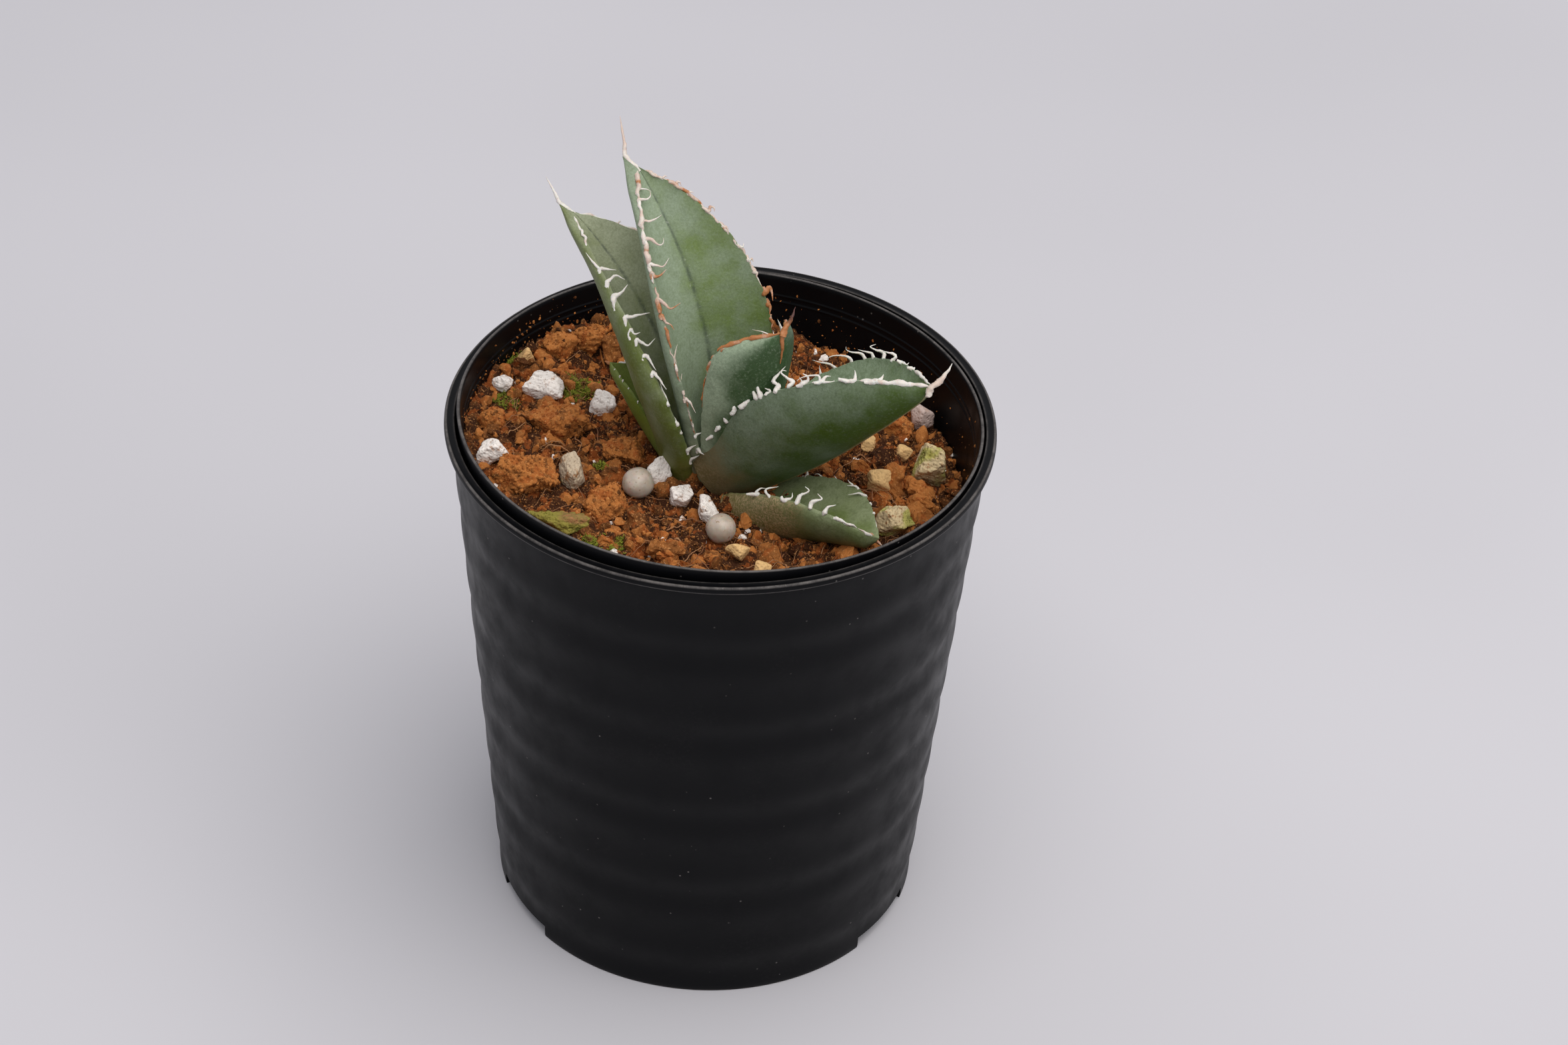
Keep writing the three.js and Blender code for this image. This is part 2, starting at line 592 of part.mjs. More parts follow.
let takenByGrains = null;
const countOf = {};
GRAINS.forEach((row, seed) => {
  const kind = row[0];
  countOf[kind] = (countOf[kind] || 0) + 1;
  const name = `${kind}_${countOf[kind]}`;
  let shape = grain(row, seed, 0).subtract(takenByPlant);
  if (takenByGrains) shape = shape.subtract(takenByGrains);
  const { colour, roughness } = GRAIN_LOOK[kind];
  plant.add(toMesh(shape, name, { color: colour, roughness, metalness: 0 }));
  const grown = grain(row, seed, GAP);
  takenByGrains = takenByGrains ? takenByGrains.add(grown) : grown;
});

const mix = pottingMix().subtract(takenByPlant).subtract(takenByGrains);
plant.add(toMesh(mix, 'potting_mix', MIX_FINISH));

export default plant;
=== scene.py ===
"""Potted agave, dressed: fine leaves with horny teeth, a crumbly planting mix and two scuffed pots.

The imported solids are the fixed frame. Every piece made here stands for one of them or lies on one.
Sizes are in millimetres and degrees unless a name says otherwise; meshes are made in metres.
"""
import itertools
import math

import bmesh
import bpy
import numpy as np
from bpy.props import FloatProperty, FloatVectorProperty, IntProperty, PointerProperty
from mathutils import Matrix, Vector


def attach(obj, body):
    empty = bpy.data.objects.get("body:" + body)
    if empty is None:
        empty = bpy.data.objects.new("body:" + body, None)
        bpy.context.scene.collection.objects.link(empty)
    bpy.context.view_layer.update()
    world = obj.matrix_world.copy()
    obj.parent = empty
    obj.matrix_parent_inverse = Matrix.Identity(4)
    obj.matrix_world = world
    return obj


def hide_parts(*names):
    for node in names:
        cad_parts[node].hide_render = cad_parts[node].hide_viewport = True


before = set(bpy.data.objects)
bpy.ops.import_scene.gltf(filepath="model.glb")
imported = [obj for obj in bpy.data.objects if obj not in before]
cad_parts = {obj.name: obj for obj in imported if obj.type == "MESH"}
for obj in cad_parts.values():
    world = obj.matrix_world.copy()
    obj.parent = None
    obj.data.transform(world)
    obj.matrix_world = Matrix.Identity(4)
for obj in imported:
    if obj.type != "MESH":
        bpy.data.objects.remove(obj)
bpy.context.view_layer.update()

bl_info = {
    "name": "Potted Agave",
    "version": (1, 0, 0),
    "blender": (4, 5, 0),
    "location": "3D View > Sidebar > Agave",
    "description": "Builds a young agave in two nested nursery pots round its packed solids",
    "category": "Object",
}

MM = 0.001

# ------------------------------------------------------------------ sizes shared with the solids

OUTER = dict(height=94.3, lip_radius=45, lip_bore=43.25, lip_height=1.2, lip_underside=0.7,
             wall_top=43.9, foot_radius=36.2, foot_width=1.5, wall=0.8, waves=10, wave_depth=0.25,
             floor_underside=2.5, floor_top=3.4, floor_fillet=0.6,
             notch_count=3, notch_first=90, notch_sweep=24, notch_height=2.4)
INNER = dict(height=90.8, rim_radius=42.95, foot_radius=32.2, wall=0.6, floor=0.9,
             rim_centre_height=95.4, tilt_across=0.023, tilt_back=0.017)
DRAIN = dict(radius=3.5, ring_radius=25, facets=32, cut=6)
MIX = dict(centre_height=86, fall_per_mm=0.12, hollow_depth=1.5, hollow_radius=12, gap=0.3)
ROSETTE = (-0.5, -2.5)
STEM = dict(radius=2.6, root_radius=1.6, neck_radius=1.6, bottom=66, shoulder=79, top=82.6)

# One entry for each leaf, as in the solids: azimuth from +X towards +Y, rise of the midrib above
# level, fold of each half above the rib's own plane, turn of the blade about its rib.
LEAVES = {
    "leaf_center": dict(
        azimuth=-44, swing=-1, root_radius=1.8, root_height=83.2, rise_root=59, rise_tip=86,
        length=38.5, half_width=10.8, widest_at=0.74, root_share=0.5, tip_power=3, fold_rib=17,
        fold_left=76, fold_right=66, turn_root=4, turn_gain=3, thickness=1.6),
    "leaf_tall_back": dict(
        azimuth=140, swing=0, root_radius=2.5, root_height=82.5, rise_root=104, rise_tip=40,
        length=59.8, half_width=10.7, widest_at=0.51, root_share=0.28, tip_power=1.75, fold_rib=6,
        fold_left=72, fold_right=24, turn_root=16, turn_gain=20, thickness=2.7, blunt_left=1.5,
        channel_end=(1.3, -1.5), keel_end=(-1.1, 0.55)),
    "leaf_left": dict(
        azimuth=153, swing=-4, root_radius=4.9, root_height=82.6, rise_root=90.5, rise_tip=32,
        length=52, half_width=13.5, widest_at=0.42, root_share=0.3, tip_power=1.45, fold_rib=0,
        fold_left=104, fold_right=7, turn_root=15, turn_gain=23.5, thickness=3.3, blunt_left=1.1,
        channel_end=(0.9, -0.9), keel_end=(-1.4, 0.7)),
    "leaf_right_large": dict(
        azimuth=-26, swing=1, root_radius=2, root_height=84, rise_root=33, rise_tip=51,
        length=46.5, half_width=16.5, widest_at=0.44, root_share=0.57, tip_power=2.25, fold_rib=17,
        fold_left=66, fold_right=83, turn_root=11, turn_gain=8, thickness=3),
    "leaf_front_low": dict(
        azimuth=-41, swing=9, root_radius=6.2, root_height=82.2, rise_root=28, rise_tip=-4,
        length=27.8, half_width=8, widest_at=0.57, root_share=0.58, tip_power=2.1, fold_rib=15,
        fold_left=33, fold_right=58, turn_root=6, turn_gain=4, thickness=6.4, blunt_right=0.8),
    "leaf_back_low": dict(
        azimuth=152, swing=2, root_radius=4.3, root_height=82, rise_root=49, rise_tip=47,
        length=23.7, half_width=8.3, widest_at=0.43, root_share=0.5, tip_power=2.1, fold_rib=14,
        fold_left=66, fold_right=52, turn_root=0, turn_gain=-5, thickness=1.9),
}
# Directions of the photograph's right and up. Teeth and spines were drawn in their plane.
SEEN_RIGHT = np.array([1.0, 0.01, 0.04])
SEEN_UP = np.array([-0.04, 0.61, 0.79])
SEEN_NEAR = np.array([-0.02, -0.79, 0.61])
BLADE = dict(stations=96, across=60, edge=0.45, tip_half_width=0.45, thinning=0.75,
             swell_power=1.3, section_power=1.5, rounding=0.14)

# One row for each grain, as in the solids: kind, x, y, width, depth, height, share sunk.
GRAINS = [
    ("perlite", -36.4, 12.3, 3.6, 3.0, 2.6, 0.35),
    ("perlite", -29.6, 12.6, 7.0, 5.2, 5.0, 0.35),
    ("perlite", -19.7, 9.6, 4.6, 4.4, 5.0, 0.35),
    ("perlite", -37.0, -7.4, 5.4, 4.6, 4.8, 0.35),
    ("perlite", -9.6, -6.4, 4.0, 4.6, 5.6, 0.3),
    ("perlite", -5.9, -12.2, 3.9, 3.9, 4.6, 0.3),
    ("perlite", -1.4, -15.2, 3.9, 3.6, 4.6, 0.3),
    ("stone_pink", 33.8, 17.6, 4.2, 4.0, 5.2, 0.3),
    ("clod", -30.6, -12.6, 10.4, 8.6, 8.0, 0.45),
    ("clod", -27.0, 3.4, 11.0, 7.0, 6.0, 0.45),
    ("clod", -17.6, -17.0, 8.0, 6.6, 6.6, 0.4),
    ("clod", -37.6, 1.6, 4.6, 4.4, 4.6, 0.4),
    ("clod", -27.6, 24.8, 6.0, 5.0, 5.0, 0.35),
    ("clod", -22.8, 27.6, 6.4, 5.2, 5.0, 0.35),
    ("clod", -15.8, -1.6, 7.4, 5.0, 4.6, 0.5),
    ("clod", 29.0, 16.0, 7.4, 6.0, 5.0, 0.5),
    ("pumice", -23.6, -10.8, 4.2, 5.6, 6.6, 0.4),
    ("fertiliser", -13.0, -10.6, 5.2, 5.2, 5.0, 0.3),
    ("fertiliser", 0.6, -20.2, 4.9, 4.9, 4.9, 0.25),
    ("moss_clump", -25.4, -23.0, 10.6, 4.6, 3.6, 0.4),
    ("pebble", -33.0, 21.0, 2.8, 2.6, 2.8, 0.4),
    ("pebble", 3.6, -25.2, 3.9, 3.0, 3.4, 0.3),
    ("pebble", 7.4, -28.2, 3.2, 2.6, 2.8, 0.35),
    ("pebble", 26.2, -1.6, 4.3, 3.8, 4.4, 0.3),
    ("pebble", 30.6, 7.8, 3.0, 2.6, 2.6, 0.35),
    ("pebble", 24.6, 9.0, 2.6, 2.4, 2.4, 0.35),
    ("stone_mossy", 34.6, 2.4, 5.8, 5.6, 9.0, 0.3),
    ("stone_mossy", 28.6, -12.4, 7.0, 5.2, 5.8, 0.35),
]


# ------------------------------------------------------------------ settings a user would change

def colour_property(name, description, default):
    return FloatVectorProperty(name=name, description=description, default=default, size=3,
                               subtype="COLOR", min=0, max=1)


def size_property(name, description, default):
    return FloatProperty(name=name, description=description, default=default, min=0,
                         unit="LENGTH", subtype="DISTANCE", precision=5)


class PotSettings(bpy.types.PropertyGroup):
    """Sizes and colours of the two nursery pots."""

    plastic: colour_property("Plastic", "Colour of the black plastic", (0.0022, 0.0023, 0.003))
    # The dust colour also paints the highlight along the lip and rim, where the wear rows say.
    dust_and_highlight: colour_property("Dust", "Colour of dust and worn edges", (0.22, 0.2, 0.19))
    ripple_depth: size_property("Ripple Depth", "Depth of the outer wall's ripples",
                                 OUTER["wave_depth"] * MM)


class MixSettings(bpy.types.PropertyGroup):
    """Sizes and colours of the planting mix and the grains in it."""

    # The dry crumb colour also stands for painted light on lit crumbs, and the damp one for painted shade in
    # the low places between them.
    dry_and_lit: colour_property("Dry Crumb", "Colour of the lit, drier crumbs", (0.48, 0.175, 0.042))
    damp_and_shade: colour_property("Damp Crumb", "Colour of the damp mix between them", (0.045, 0.013, 0.003))
    perlite: colour_property("Perlite", "Colour of the perlite grains", (0.93, 0.86, 0.8))
    moss: colour_property("Moss", "Colour of the moss on stones and clods", (0.2, 0.22, 0.025))
    crumb_size: size_property("Crumb Size", "Radius of a large crumb", 0.0008)
    crumb_count: IntProperty(name="Crumbs", description="Crumbs scattered per square centimetre",
                             default=150, min=0)


class LeafSettings(bpy.types.PropertyGroup):
    """Colours of the leaves' horn."""

    horn: colour_property("Horn", "Colour of fresh teeth and spines", (0.74, 0.7, 0.64))
    rust: colour_property("Rust", "Colour of old, dried margin", (0.42, 0.16, 0.05))


class StageSettings(bpy.types.PropertyGroup):
    """Floor, light and camera."""

    floor: colour_property("Floor", "Colour of the plain floor", (0.585, 0.575, 0.605))
    lamp_power: FloatProperty(name="Lamp Power", description="Power of the large soft light",
                              default=14.5, min=0, unit="POWER")
    lens: FloatProperty(name="Lens", description="Focal length of the camera in millimetres",
                        default=90.35, min=1)


class AgaveSettings(bpy.types.PropertyGroup):
    """All settings of the potted agave."""

    pot: PointerProperty(type=PotSettings)
    mix: PointerProperty(type=MixSettings)
    leaf: PointerProperty(type=LeafSettings)
    stage: PointerProperty(type=StageSettings)


# ------------------------------------------------------------------ repeatable noise

def hashed(cells, seed):
    """Repeatable number from 0 to 1 for each whole-number cell (the last axis holds x, y, z)."""
    c = np.asarray(cells).astype(np.int64)
    h = c[..., 0] * 73856093 ^ c[..., 1] * 19349663 ^ c[..., 2] * 83492791 ^ (seed + 1) * 2654435761
    h = ((h & 0xFFFFFFFF) ^ (h >> 13)) * 1274126177 & 0xFFFFFFFF
    h = ((h ^ (h >> 16)) * 2246822519) & 0xFFFFFFFF
    return (h ^ (h >> 15)) / 4294967296.0


def noise(points, size, seed):
    """Smooth noise from -1 to 1, with lumps about one size apart."""
    q = np.asarray(points, float) / size
    base = np.floor(q)
    f = q - base
    f = f * f * (3 - 2 * f)
    total = 0.0
    for corner in itertools.product((0, 1), repeat=3):
        weight = np.prod(np.where(corner, f, 1 - f), axis=-1)
        total = total + weight * hashed(base + corner, seed)
    return 2 * total - 1


def rough(points, size, octaves, seed):
    """Noise with finer and finer grain, each half as strong."""
    return sum(noise(points, size / 2**k, seed + 31 * k) / 2**k for k in range(octaves))


def cells(points, size, seed):
    """Distance to the nearest of points strewn one size apart, and that point's own number."""
    q = np.asarray(points, float) / size
    base = np.floor(q)
    near = np.full(q.shape[:-1], 9.0)
    own = np.zeros(q.shape[:-1])
    for step in itertools.product((-1, 0, 1), repeat=3):
        cell = base + step
        jitter = np.stack([hashed(cell, seed + k) for k in (1, 2, 3)], axis=-1)
        distance = np.linalg.norm(cell + jitter - q, axis=-1)
        closer = distance < near
        near = np.where(closer, distance, near)
        own = np.where(closer, hashed(cell, seed + 4), own)
    return near, own


def unit(v):
    return v / np.linalg.norm(v, axis=-1, keepdims=True)


# ------------------------------------------------------------------ meshes and pieces

def linked(name, data):
    """Object made of the given data and put in the scene."""
    thing = bpy.data.objects.new(name, data)
    bpy.context.scene.collection.objects.link(thing)
    return thing


def new_object(name, points, faces, edges=(), attributes=None):
    """Object at the origin with its mesh in place. Points come in millimetres."""
    mesh = bpy.data.meshes.new(name)
    mesh.from_pydata((np.asarray(points, float) * MM).tolist(), list(edges), list(faces))
    for key, values in (attributes or {}).items():
        layer = mesh.attributes.new(key, "FLOAT", "POINT")
        layer.data.foreach_set("value", np.asarray(values, np.float32))
    return linked(name, mesh)


def ring_faces(rings, count):
    """Faces between each ring of points and the next, all rings with the same count."""
    faces = []
    for i in range(rings):
        for j in range(count):
            k = (j + 1) % count
            faces.append((i * count + j, i * count + k, (i + 1) * count + k, (i + 1) * count + j))
    return faces


def spin_matrix(angle):
    """Matrix that turns rows of points about the vertical, by an angle in radians."""
    c, s = math.cos(angle), math.sin(angle)
    return np.array([[c, s, 0], [-s, c, 0], [0, 0, 1]])


def face_outwards(thing):
    """Turns a closed mesh's faces out, judged by its volume."""
    mesh = thing.data
    mesh.calc_loop_triangles()
    co = np.array([v.co for v in mesh.vertices])
    tri = co[np.array([t.vertices for t in mesh.loop_triangles])]
    volume = np.einsum("ij,ij->i", tri[:, 0], np.cross(tri[:, 1], tri[:, 2])).sum()
    if volume < 0:
        mesh.flip_normals()


def finish_piece(thing, material, nodes=(), sharp=None, smooth=True):
    """Hands a finished piece to the frame. Sharp is the angle past which an edge stays crisp."""
    mesh = thing.data
    mesh.materials.clear()
    mesh.materials.append(material)
    mesh.polygons.foreach_set("use_smooth", [smooth] * len(mesh.polygons))
    if sharp:
        mesh.set_sharp_from_angle(angle=math.radians(sharp))
    mesh.update()
    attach(thing, "root")
    if nodes:
        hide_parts(*nodes)


# ------------------------------------------------------------------ node trees

def arithmetic(operation, swapped=False):
    """Method that joins a wire with another one, or with a number, by a maths node."""
    def method(self, other=0.0):
        pair = (other, self) if swapped else (self, other)
        return add_node(self.tree, "ShaderNodeMath", dict(enumerate(pair)), operation=operation)
    return method


class Wire:
    """One output of a node. Arithmetic with it adds nodes to its tree."""

    def __init__(self, tree, socket):
        self.tree, self.socket = tree, socket

    def beside(self, output):
        """Another output of the same node."""
        return Wire(self.tree, self.socket.node.outputs[output])

    __add__, __sub__, __mul__ = (arithmetic(o) for o in ("ADD", "SUBTRACT", "MULTIPLY"))
    __pow__, __abs__ = arithmetic("POWER"), arithmetic("ABSOLUTE")
    __rsub__, __rtruediv__ = arithmetic("SUBTRACT", True), arithmetic("DIVIDE", True)


def add_node(tree, kind, inputs=None, output=0, **properties):
    """New node, returned as the wire of one output. An input is linked to a wire or set to a value."""
    node = tree.nodes.new(kind)
    for key, value in properties.items():
        setattr(node, key, value)
    for key, value in (inputs or {}).items():
        if isinstance(value, Wire):
            tree.links.new(value.socket, node.inputs[key])
        else:
            node.inputs[key].default_value = value
    return Wire(tree, node.outputs[output]) if node.outputs else None


def titled(label):
    return label.replace("_", " ").title()


def new_tree(name, **inputs):
    """Geometry Nodes tree with inputs of the given kinds. Returns the tree and its inputs' wires."""
    tree = bpy.data.node_groups.new(name, "GeometryNodeTree")
    inputs = {"geometry": "Geometry", **inputs, "material": "Material"}
    for label, kind in inputs.items():
        tree.interface.new_socket(titled(label), in_out="INPUT", socket_type=f"NodeSocket{kind}")
    tree.interface.new_socket("Geometry", in_out="OUTPUT", socket_type="NodeSocketGeometry")
    return tree, {label: add_node(tree, "NodeGroupInput", output=i) for i, label in enumerate(inputs)}


def end_tree(geometry, material):
    """Realizes the instances, sets the material and closes the tree."""
    steps = {"RealizeInstances": {}, "SetShadeSmooth": {}, "SetMaterial": {"Material": material}}
    for kind, more in steps.items():
        geometry = add_node(geometry.tree, f"GeometryNode{kind}", {"Geometry": geometry, **more})
    add_node(geometry.tree, "NodeGroupOutput", {0: geometry})
    return geometry.tree


def grow(thing, tree, **values):
    """Runs a tree on an object, keeps the result as its plain mesh and removes the modifier."""
    modifier = thing.modifiers.new(tree.name, "NODES")
    modifier.node_group = tree
    wanted = {titled(label): value for label, value in values.items()}
    for item in tree.interface.items_tree:
        if item.in_out == "INPUT" and item.name in wanted:
            modifier[item.identifier] = wanted[item.name]
    bpy.context.view_layer.update()
    graph = bpy.context.evaluated_depsgraph_get()
    grown = bpy.data.meshes.new_from_object(thing.evaluated_get(graph))
    thing.modifiers.remove(modifier)
    grown.name = thing.name
    thing.data = grown
    return thing


def moved(geometry, direction, amount):
    """Moves every point by an amount times a direction."""
    shift = add_node(geometry.tree, "ShaderNodeVectorMath", {0: direction, "Scale": amount},
                     operation="SCALE")
    return add_node(geometry.tree, "GeometryNodeSetPosition", {"Geometry": geometry, "Offset": shift})


def jolted(geometry, scale, share, reach):
    """Moves every point by noise: features per metre, and a share of the reach as its size."""
    jolt = add_node(geometry.tree, "ShaderNodeTexNoise", {"Scale": scale, "Detail": 0.0}, "Color")
    centred = add_node(geometry.tree, "ShaderNodeVectorMath", {0: jolt, 1: (0.5, 0.5, 0.5)},
                       operation="SUBTRACT")
    return moved(geometry, centred, reach * share)


def horn_tree():
    """Round tapering horn along guide lines, each point as wide as its 'width' says."""
    tree, given = new_tree("horn_along_lines", sides="Int")
    width = add_node(tree, "GeometryNodeInputNamedAttribute", {"Name": "width"})
    curve = add_node(tree, "GeometryNodeMeshToCurve", {"Mesh": given["geometry"]})
    ring = add_node(tree, "GeometryNodeCurvePrimitiveCircle",
                    {"Resolution": given["sides"], "Radius": 1.0})
    horn = add_node(tree, "GeometryNodeCurveToMesh",
                    {"Curve": curve, "Profile Curve": ring, "Scale": width, "Fill Caps": True})
    for scale, share in ((1100.0, 1.1), (3000.0, 0.7)):
        horn = jolted(horn, scale, share, width)
    return end_tree(horn, given["material"])


def turned_tree():
    """Pot turned from a closed profile round a circle, with its notches and drains cut out.

    The sweep maps a profile's x to the radius past the circle's own, and its y to -z.
    """
    tree, given = new_tree("turned_pot", path_radius="Float", segments="Int", wobble="Float",
                           cutter="Object")
    curve = add_node(tree, "GeometryNodeMeshToCurve", {"Mesh": given["geometry"]})
    path = add_node(tree, "GeometryNodeCurvePrimitiveCircle",
                    {"Resolution": given["segments"], "Radius": given["path_radius"]})
    skin = add_node(tree, "GeometryNodeCurveToMesh", {"Curve": path, "Profile Curve": curve})
    closed = add_node(tree, "GeometryNodeMergeByDistance", {"Geometry": skin, "Distance": 1e-6})
    lumps = add_node(tree, "ShaderNodeTexNoise", {"Scale": 45.0, "Detail": 1.0}, "Fac")
    here = add_node(tree, "GeometryNodeInputPosition")
    sideways = add_node(tree, "ShaderNodeVectorMath", {0: here, 1: (1, 1, 0)}, operation="MULTIPLY")
    outward = add_node(tree, "ShaderNodeVectorMath", {0: sideways}, operation="NORMALIZE")
    wavy = moved(closed, outward, (lumps - 0.5) * given["wobble"])
    knife = add_node(tree, "GeometryNodeObjectInfo", {"Object": given["cutter"]}, "Geometry")
    cut = add_node(tree, "GeometryNodeMeshBoolean", {"Mesh 1": wavy, "Mesh 2": knife},
                   operation="DIFFERENCE", solver="MANIFOLD")
    return end_tree(cut, given["material"])


def drawn_number(tree, low, high, seed):
    return add_node(tree, "FunctionNodeRandomValue", {2: low, 3: high, "Seed": seed}, 1,
                    data_type="FLOAT")


def drawn_turn(tree, low, high, seed):
    """Rotation by angles drawn between two sets of angles."""
    turn = add_node(tree, "FunctionNodeRandomValue", {0: low, 1: high, "Seed": seed},
                    data_type="FLOAT_VECTOR")
    return add_node(tree, "FunctionNodeEulerToRotation", {0: turn})


def strewn_points(tree, given):
    """Points on the faces where 'cover' is above zero: plain, and each with its own shade."""
    cover = add_node(tree, "GeometryNodeInputNamedAttribute", {"Name": "cover"})
    points = add_node(tree, "GeometryNodeDistributePointsOnFaces",
                      {"Mesh": given["geometry"], "Density": cover * given["density"],
                       "Seed": given["seed"]})
    shade = drawn_number(tree, 0.0, 1.0, given["seed"])
    return points, add_node(tree, "GeometryNodeStoreNamedAttribute",
                            {"Geometry": points, "Name": "shade", "Value": shade},
                            data_type="FLOAT", domain="POINT")


def placed(points, instance, rotation, scale):
    return add_node(points.tree, "GeometryNodeInstanceOnPoints",
                    {"Points": points, "Instance": instance, "Rotation": rotation, "Scale": scale})


def strewn_tree():
    """Small crumbs strewn over the faces where 'cover' is above zero, each with its own shade."""
    tree, given = new_tree("strewn_crumbs", density="Float", radius="Float", smallest="Float",
                           stretch="Float", flatness="Float", facets="Int", seed="Int")
    points = strewn_points(tree, given)[1]
    turned = drawn_turn(tree, (0, 0, 0), (math.tau, math.tau, math.tau), given["seed"])
    rare = drawn_number(tree, 0.0, 1.0, 7) ** 2.6
    grade = add_node(tree, "ShaderNodeMapRange", {0: rare, 3: given["smallest"], 4: given["radius"]})
    size = add_node(tree, "ShaderNodeCombineXYZ",
                    {0: grade * given["stretch"], 1: grade, 2: grade * given["flatness"]})
    ball = add_node(tree, "GeometryNodeMeshIcoSphere",
                    {"Radius": 1.0, "Subdivisions": given["facets"]})
    crumbs = add_node(tree, "GeometryNodeRealizeInstances",
                      {"Geometry": placed(points, ball, turned, size)})
    for times, share in ((0.7, 0.95), (2.1, 0.5), (6.0, 0.2)):
        crumbs = jolted(crumbs, times / given["radius"], share, given["radius"])
    return end_tree(crumbs, given["material"])


def tuft_tree():
    """Short pointed moss leaves standing on the faces where 'cover' is above zero."""
    tree, given = new_tree("moss_tufts", density="Float", length="Float", seed="Int")
    plain, points = strewn_points(tree, given)
    lean = drawn_turn(tree, (-0.9, -0.9, 0), (0.9, 0.9, math.tau), given["seed"])
    turned = add_node(tree, "FunctionNodeRotateRotation", {0: plain.beside("Rotation"), 1: lean},
                      rotation_space="LOCAL")
    length = drawn_number(tree, 0.5, 1.2, given["seed"]) * given["length"]
    leaf = add_node(tree, "GeometryNodeMeshCone",
                    {"Vertices": 4, "Side Segments": 1, "Fill Segments": 1, "Radius Top": 0.02,
                     "Radius Bottom": 0.22, "Depth": 1.0})
    return end_tree(placed(points, leaf, turned, length), given["material"])


def lines_object(name, lines):
    """Guide lines as one mesh of edges. A line is (points, widths, tints)."""
    points, widths, tints, edges = [], [], [], []
    for line, width, tint in lines:
        start = sum(len(p) for p in points)
        points.append(line)
        widths.append(width)
        tints.append(np.broadcast_to(tint, len(line)))
        edges += [(start + i, start + i + 1) for i in range(len(line) - 1)]
    return new_object(name, np.concatenate(points), [], edges,
                      {"width": np.concatenate(widths) * MM, "tint": np.concatenate(tints)})


# ------------------------------------------------------------------ finishes

class Finish:
    """A material in the making: one Principled shader, and short calls for its patterns."""

    def __init__(self, name, colour, roughness=0.5, **sockets):
        self.material = bpy.data.materials.new(name)
        self.material.use_nodes = True
        self.tree = self.material.node_tree
        self.colour = tuple(colour)
        self.shader = self.tree.nodes["Principled BSDF"]
        self.shader.inputs["Roughness"].default_value = roughness
        for label, value in sockets.items():
            self.shader.inputs[label.replace("_", " ")].default_value = value
        self.place = add_node(self.tree, "ShaderNodeTexCoord", output="Object")

    def stretched(self, scale, turn):
        """Object coordinates squeezed by scale, so that a pattern is drawn out."""
        return add_node(self.tree, "ShaderNodeMapping",
                        {"Vector": self.place, "Scale": scale, "Rotation": turn})

    def noise(self, size, detail, roughness=0.55):
        """Cloudy pattern with features about size millimetres across."""
        return add_node(self.tree, "ShaderNodeTexNoise",
                        {"Vector": self.place, "Scale": 1 / (size * MM), "Detail": detail,
                         "Roughness": roughness}, "Fac")

    def cells(self, size, place=None):
        """Distance to points strewn size millimetres apart."""
        return add_node(self.tree, "ShaderNodeTexVoronoi",
                        {"Vector": place or self.place, "Scale": 1 / (size * MM)}, "Distance")

    def attribute(self, name):
        return add_node(self.tree, "ShaderNodeAttribute", output="Fac", attribute_name=name)

    def level(self, value, low, high, to_low=0.0, to_high=1.0):
        """Smooth step of a value from low to high."""
        return add_node(self.tree, "ShaderNodeMapRange",
                        {0: value, 1: low, 2: high, 3: to_low, 4: to_high},
                        interpolation_type="SMOOTHSTEP")

    def over(self, share, colour):
        """Lays a colour over the ones so far, as strongly as the share says."""
        below, above = (c if isinstance(c, Wire) else (*c, 1) for c in (self.colour, colour))
        self.colour = add_node(self.tree, "ShaderNodeMix", {0: share, 6: below, 7: above}, 2,
                               data_type="RGBA")

    def bump(self, height, depth, strength):
        """Relief of the given depth in millimetres, added to the relief so far."""
        last = self.shader.inputs["Normal"]
        inputs = {"Height": height, "Distance": depth * MM, "Strength": strength}
        if last.links:
            inputs["Normal"] = Wire(self.tree, last.links[0].from_socket)
        self.tree.links.new(add_node(self.tree, "ShaderNodeBump", inputs).socket, last)

    def done(self, roughness=None):
        for label, wire in (("Base Color", self.colour), ("Roughness", roughness)):
            if wire is not None:
                self.tree.links.new(wire.socket, self.shader.inputs[label])
        return self.material


def toned(colour, times):
    return tuple(times * c for c in colour)


def pot_plastic(settings, name, dusted):
    """Satin black plastic: fine scratches, dust in hollows, and worn edges partly painted as highlight."""
    f = Finish(name, settings.plastic, Specular_IOR_Level=0.12)
    dusty = f.level(f.noise(14, 4), 0.45, 0.75) * f.level(f.noise(0.6, 3, 0.7), 0.45, 0.75)
    f.over(dusty * dusted, settings.dust_and_highlight)
    for size, turn, scale in ((9, 0.5, (1, 1, 16)), (11, 2.0, (14, 14, 1))):
        scratch = f.level(f.cells(size, f.stretched(scale, (turn, 0.3 * turn, turn))), 0.05, 0.0)
        f.over(scratch * f.level(f.noise(9, 2), 0.56, 0.66) * 0.2, settings.dust_and_highlight)
    specks = f.level(f.cells(2.2), 0.1, 0.04) * f.level(f.noise(6, 2), 0.54, 0.62)
    f.over(specks * 0.45, settings.dust_and_highlight)
    # Wear along the lip and rim in the dust colour: partly real wear, partly a painted highlight on the
    # rounded lip and the rim's top.
    wear = f.attribute("wear")
    worn_and_highlit = f.level(wear, 0.1, 1.0) * f.level(f.noise(2.5, 5, 0.75), 0.3, 0.7, 0.35, 1)
    f.over(worn_and_highlit * 0.6, settings.dust_and_highlight)
    f.over(f.level(wear, 0.3, 0.9) * f.level(f.noise(0.7, 4, 0.8), 0.6, 0.68) * 0.5, settings.dust_and_highlight)
    f.bump(f.noise(0.5, 2), 0.012, 0.6)
    return f.done(f.level(f.noise(5, 4), 0.3, 0.75, 0.34, 0.5))


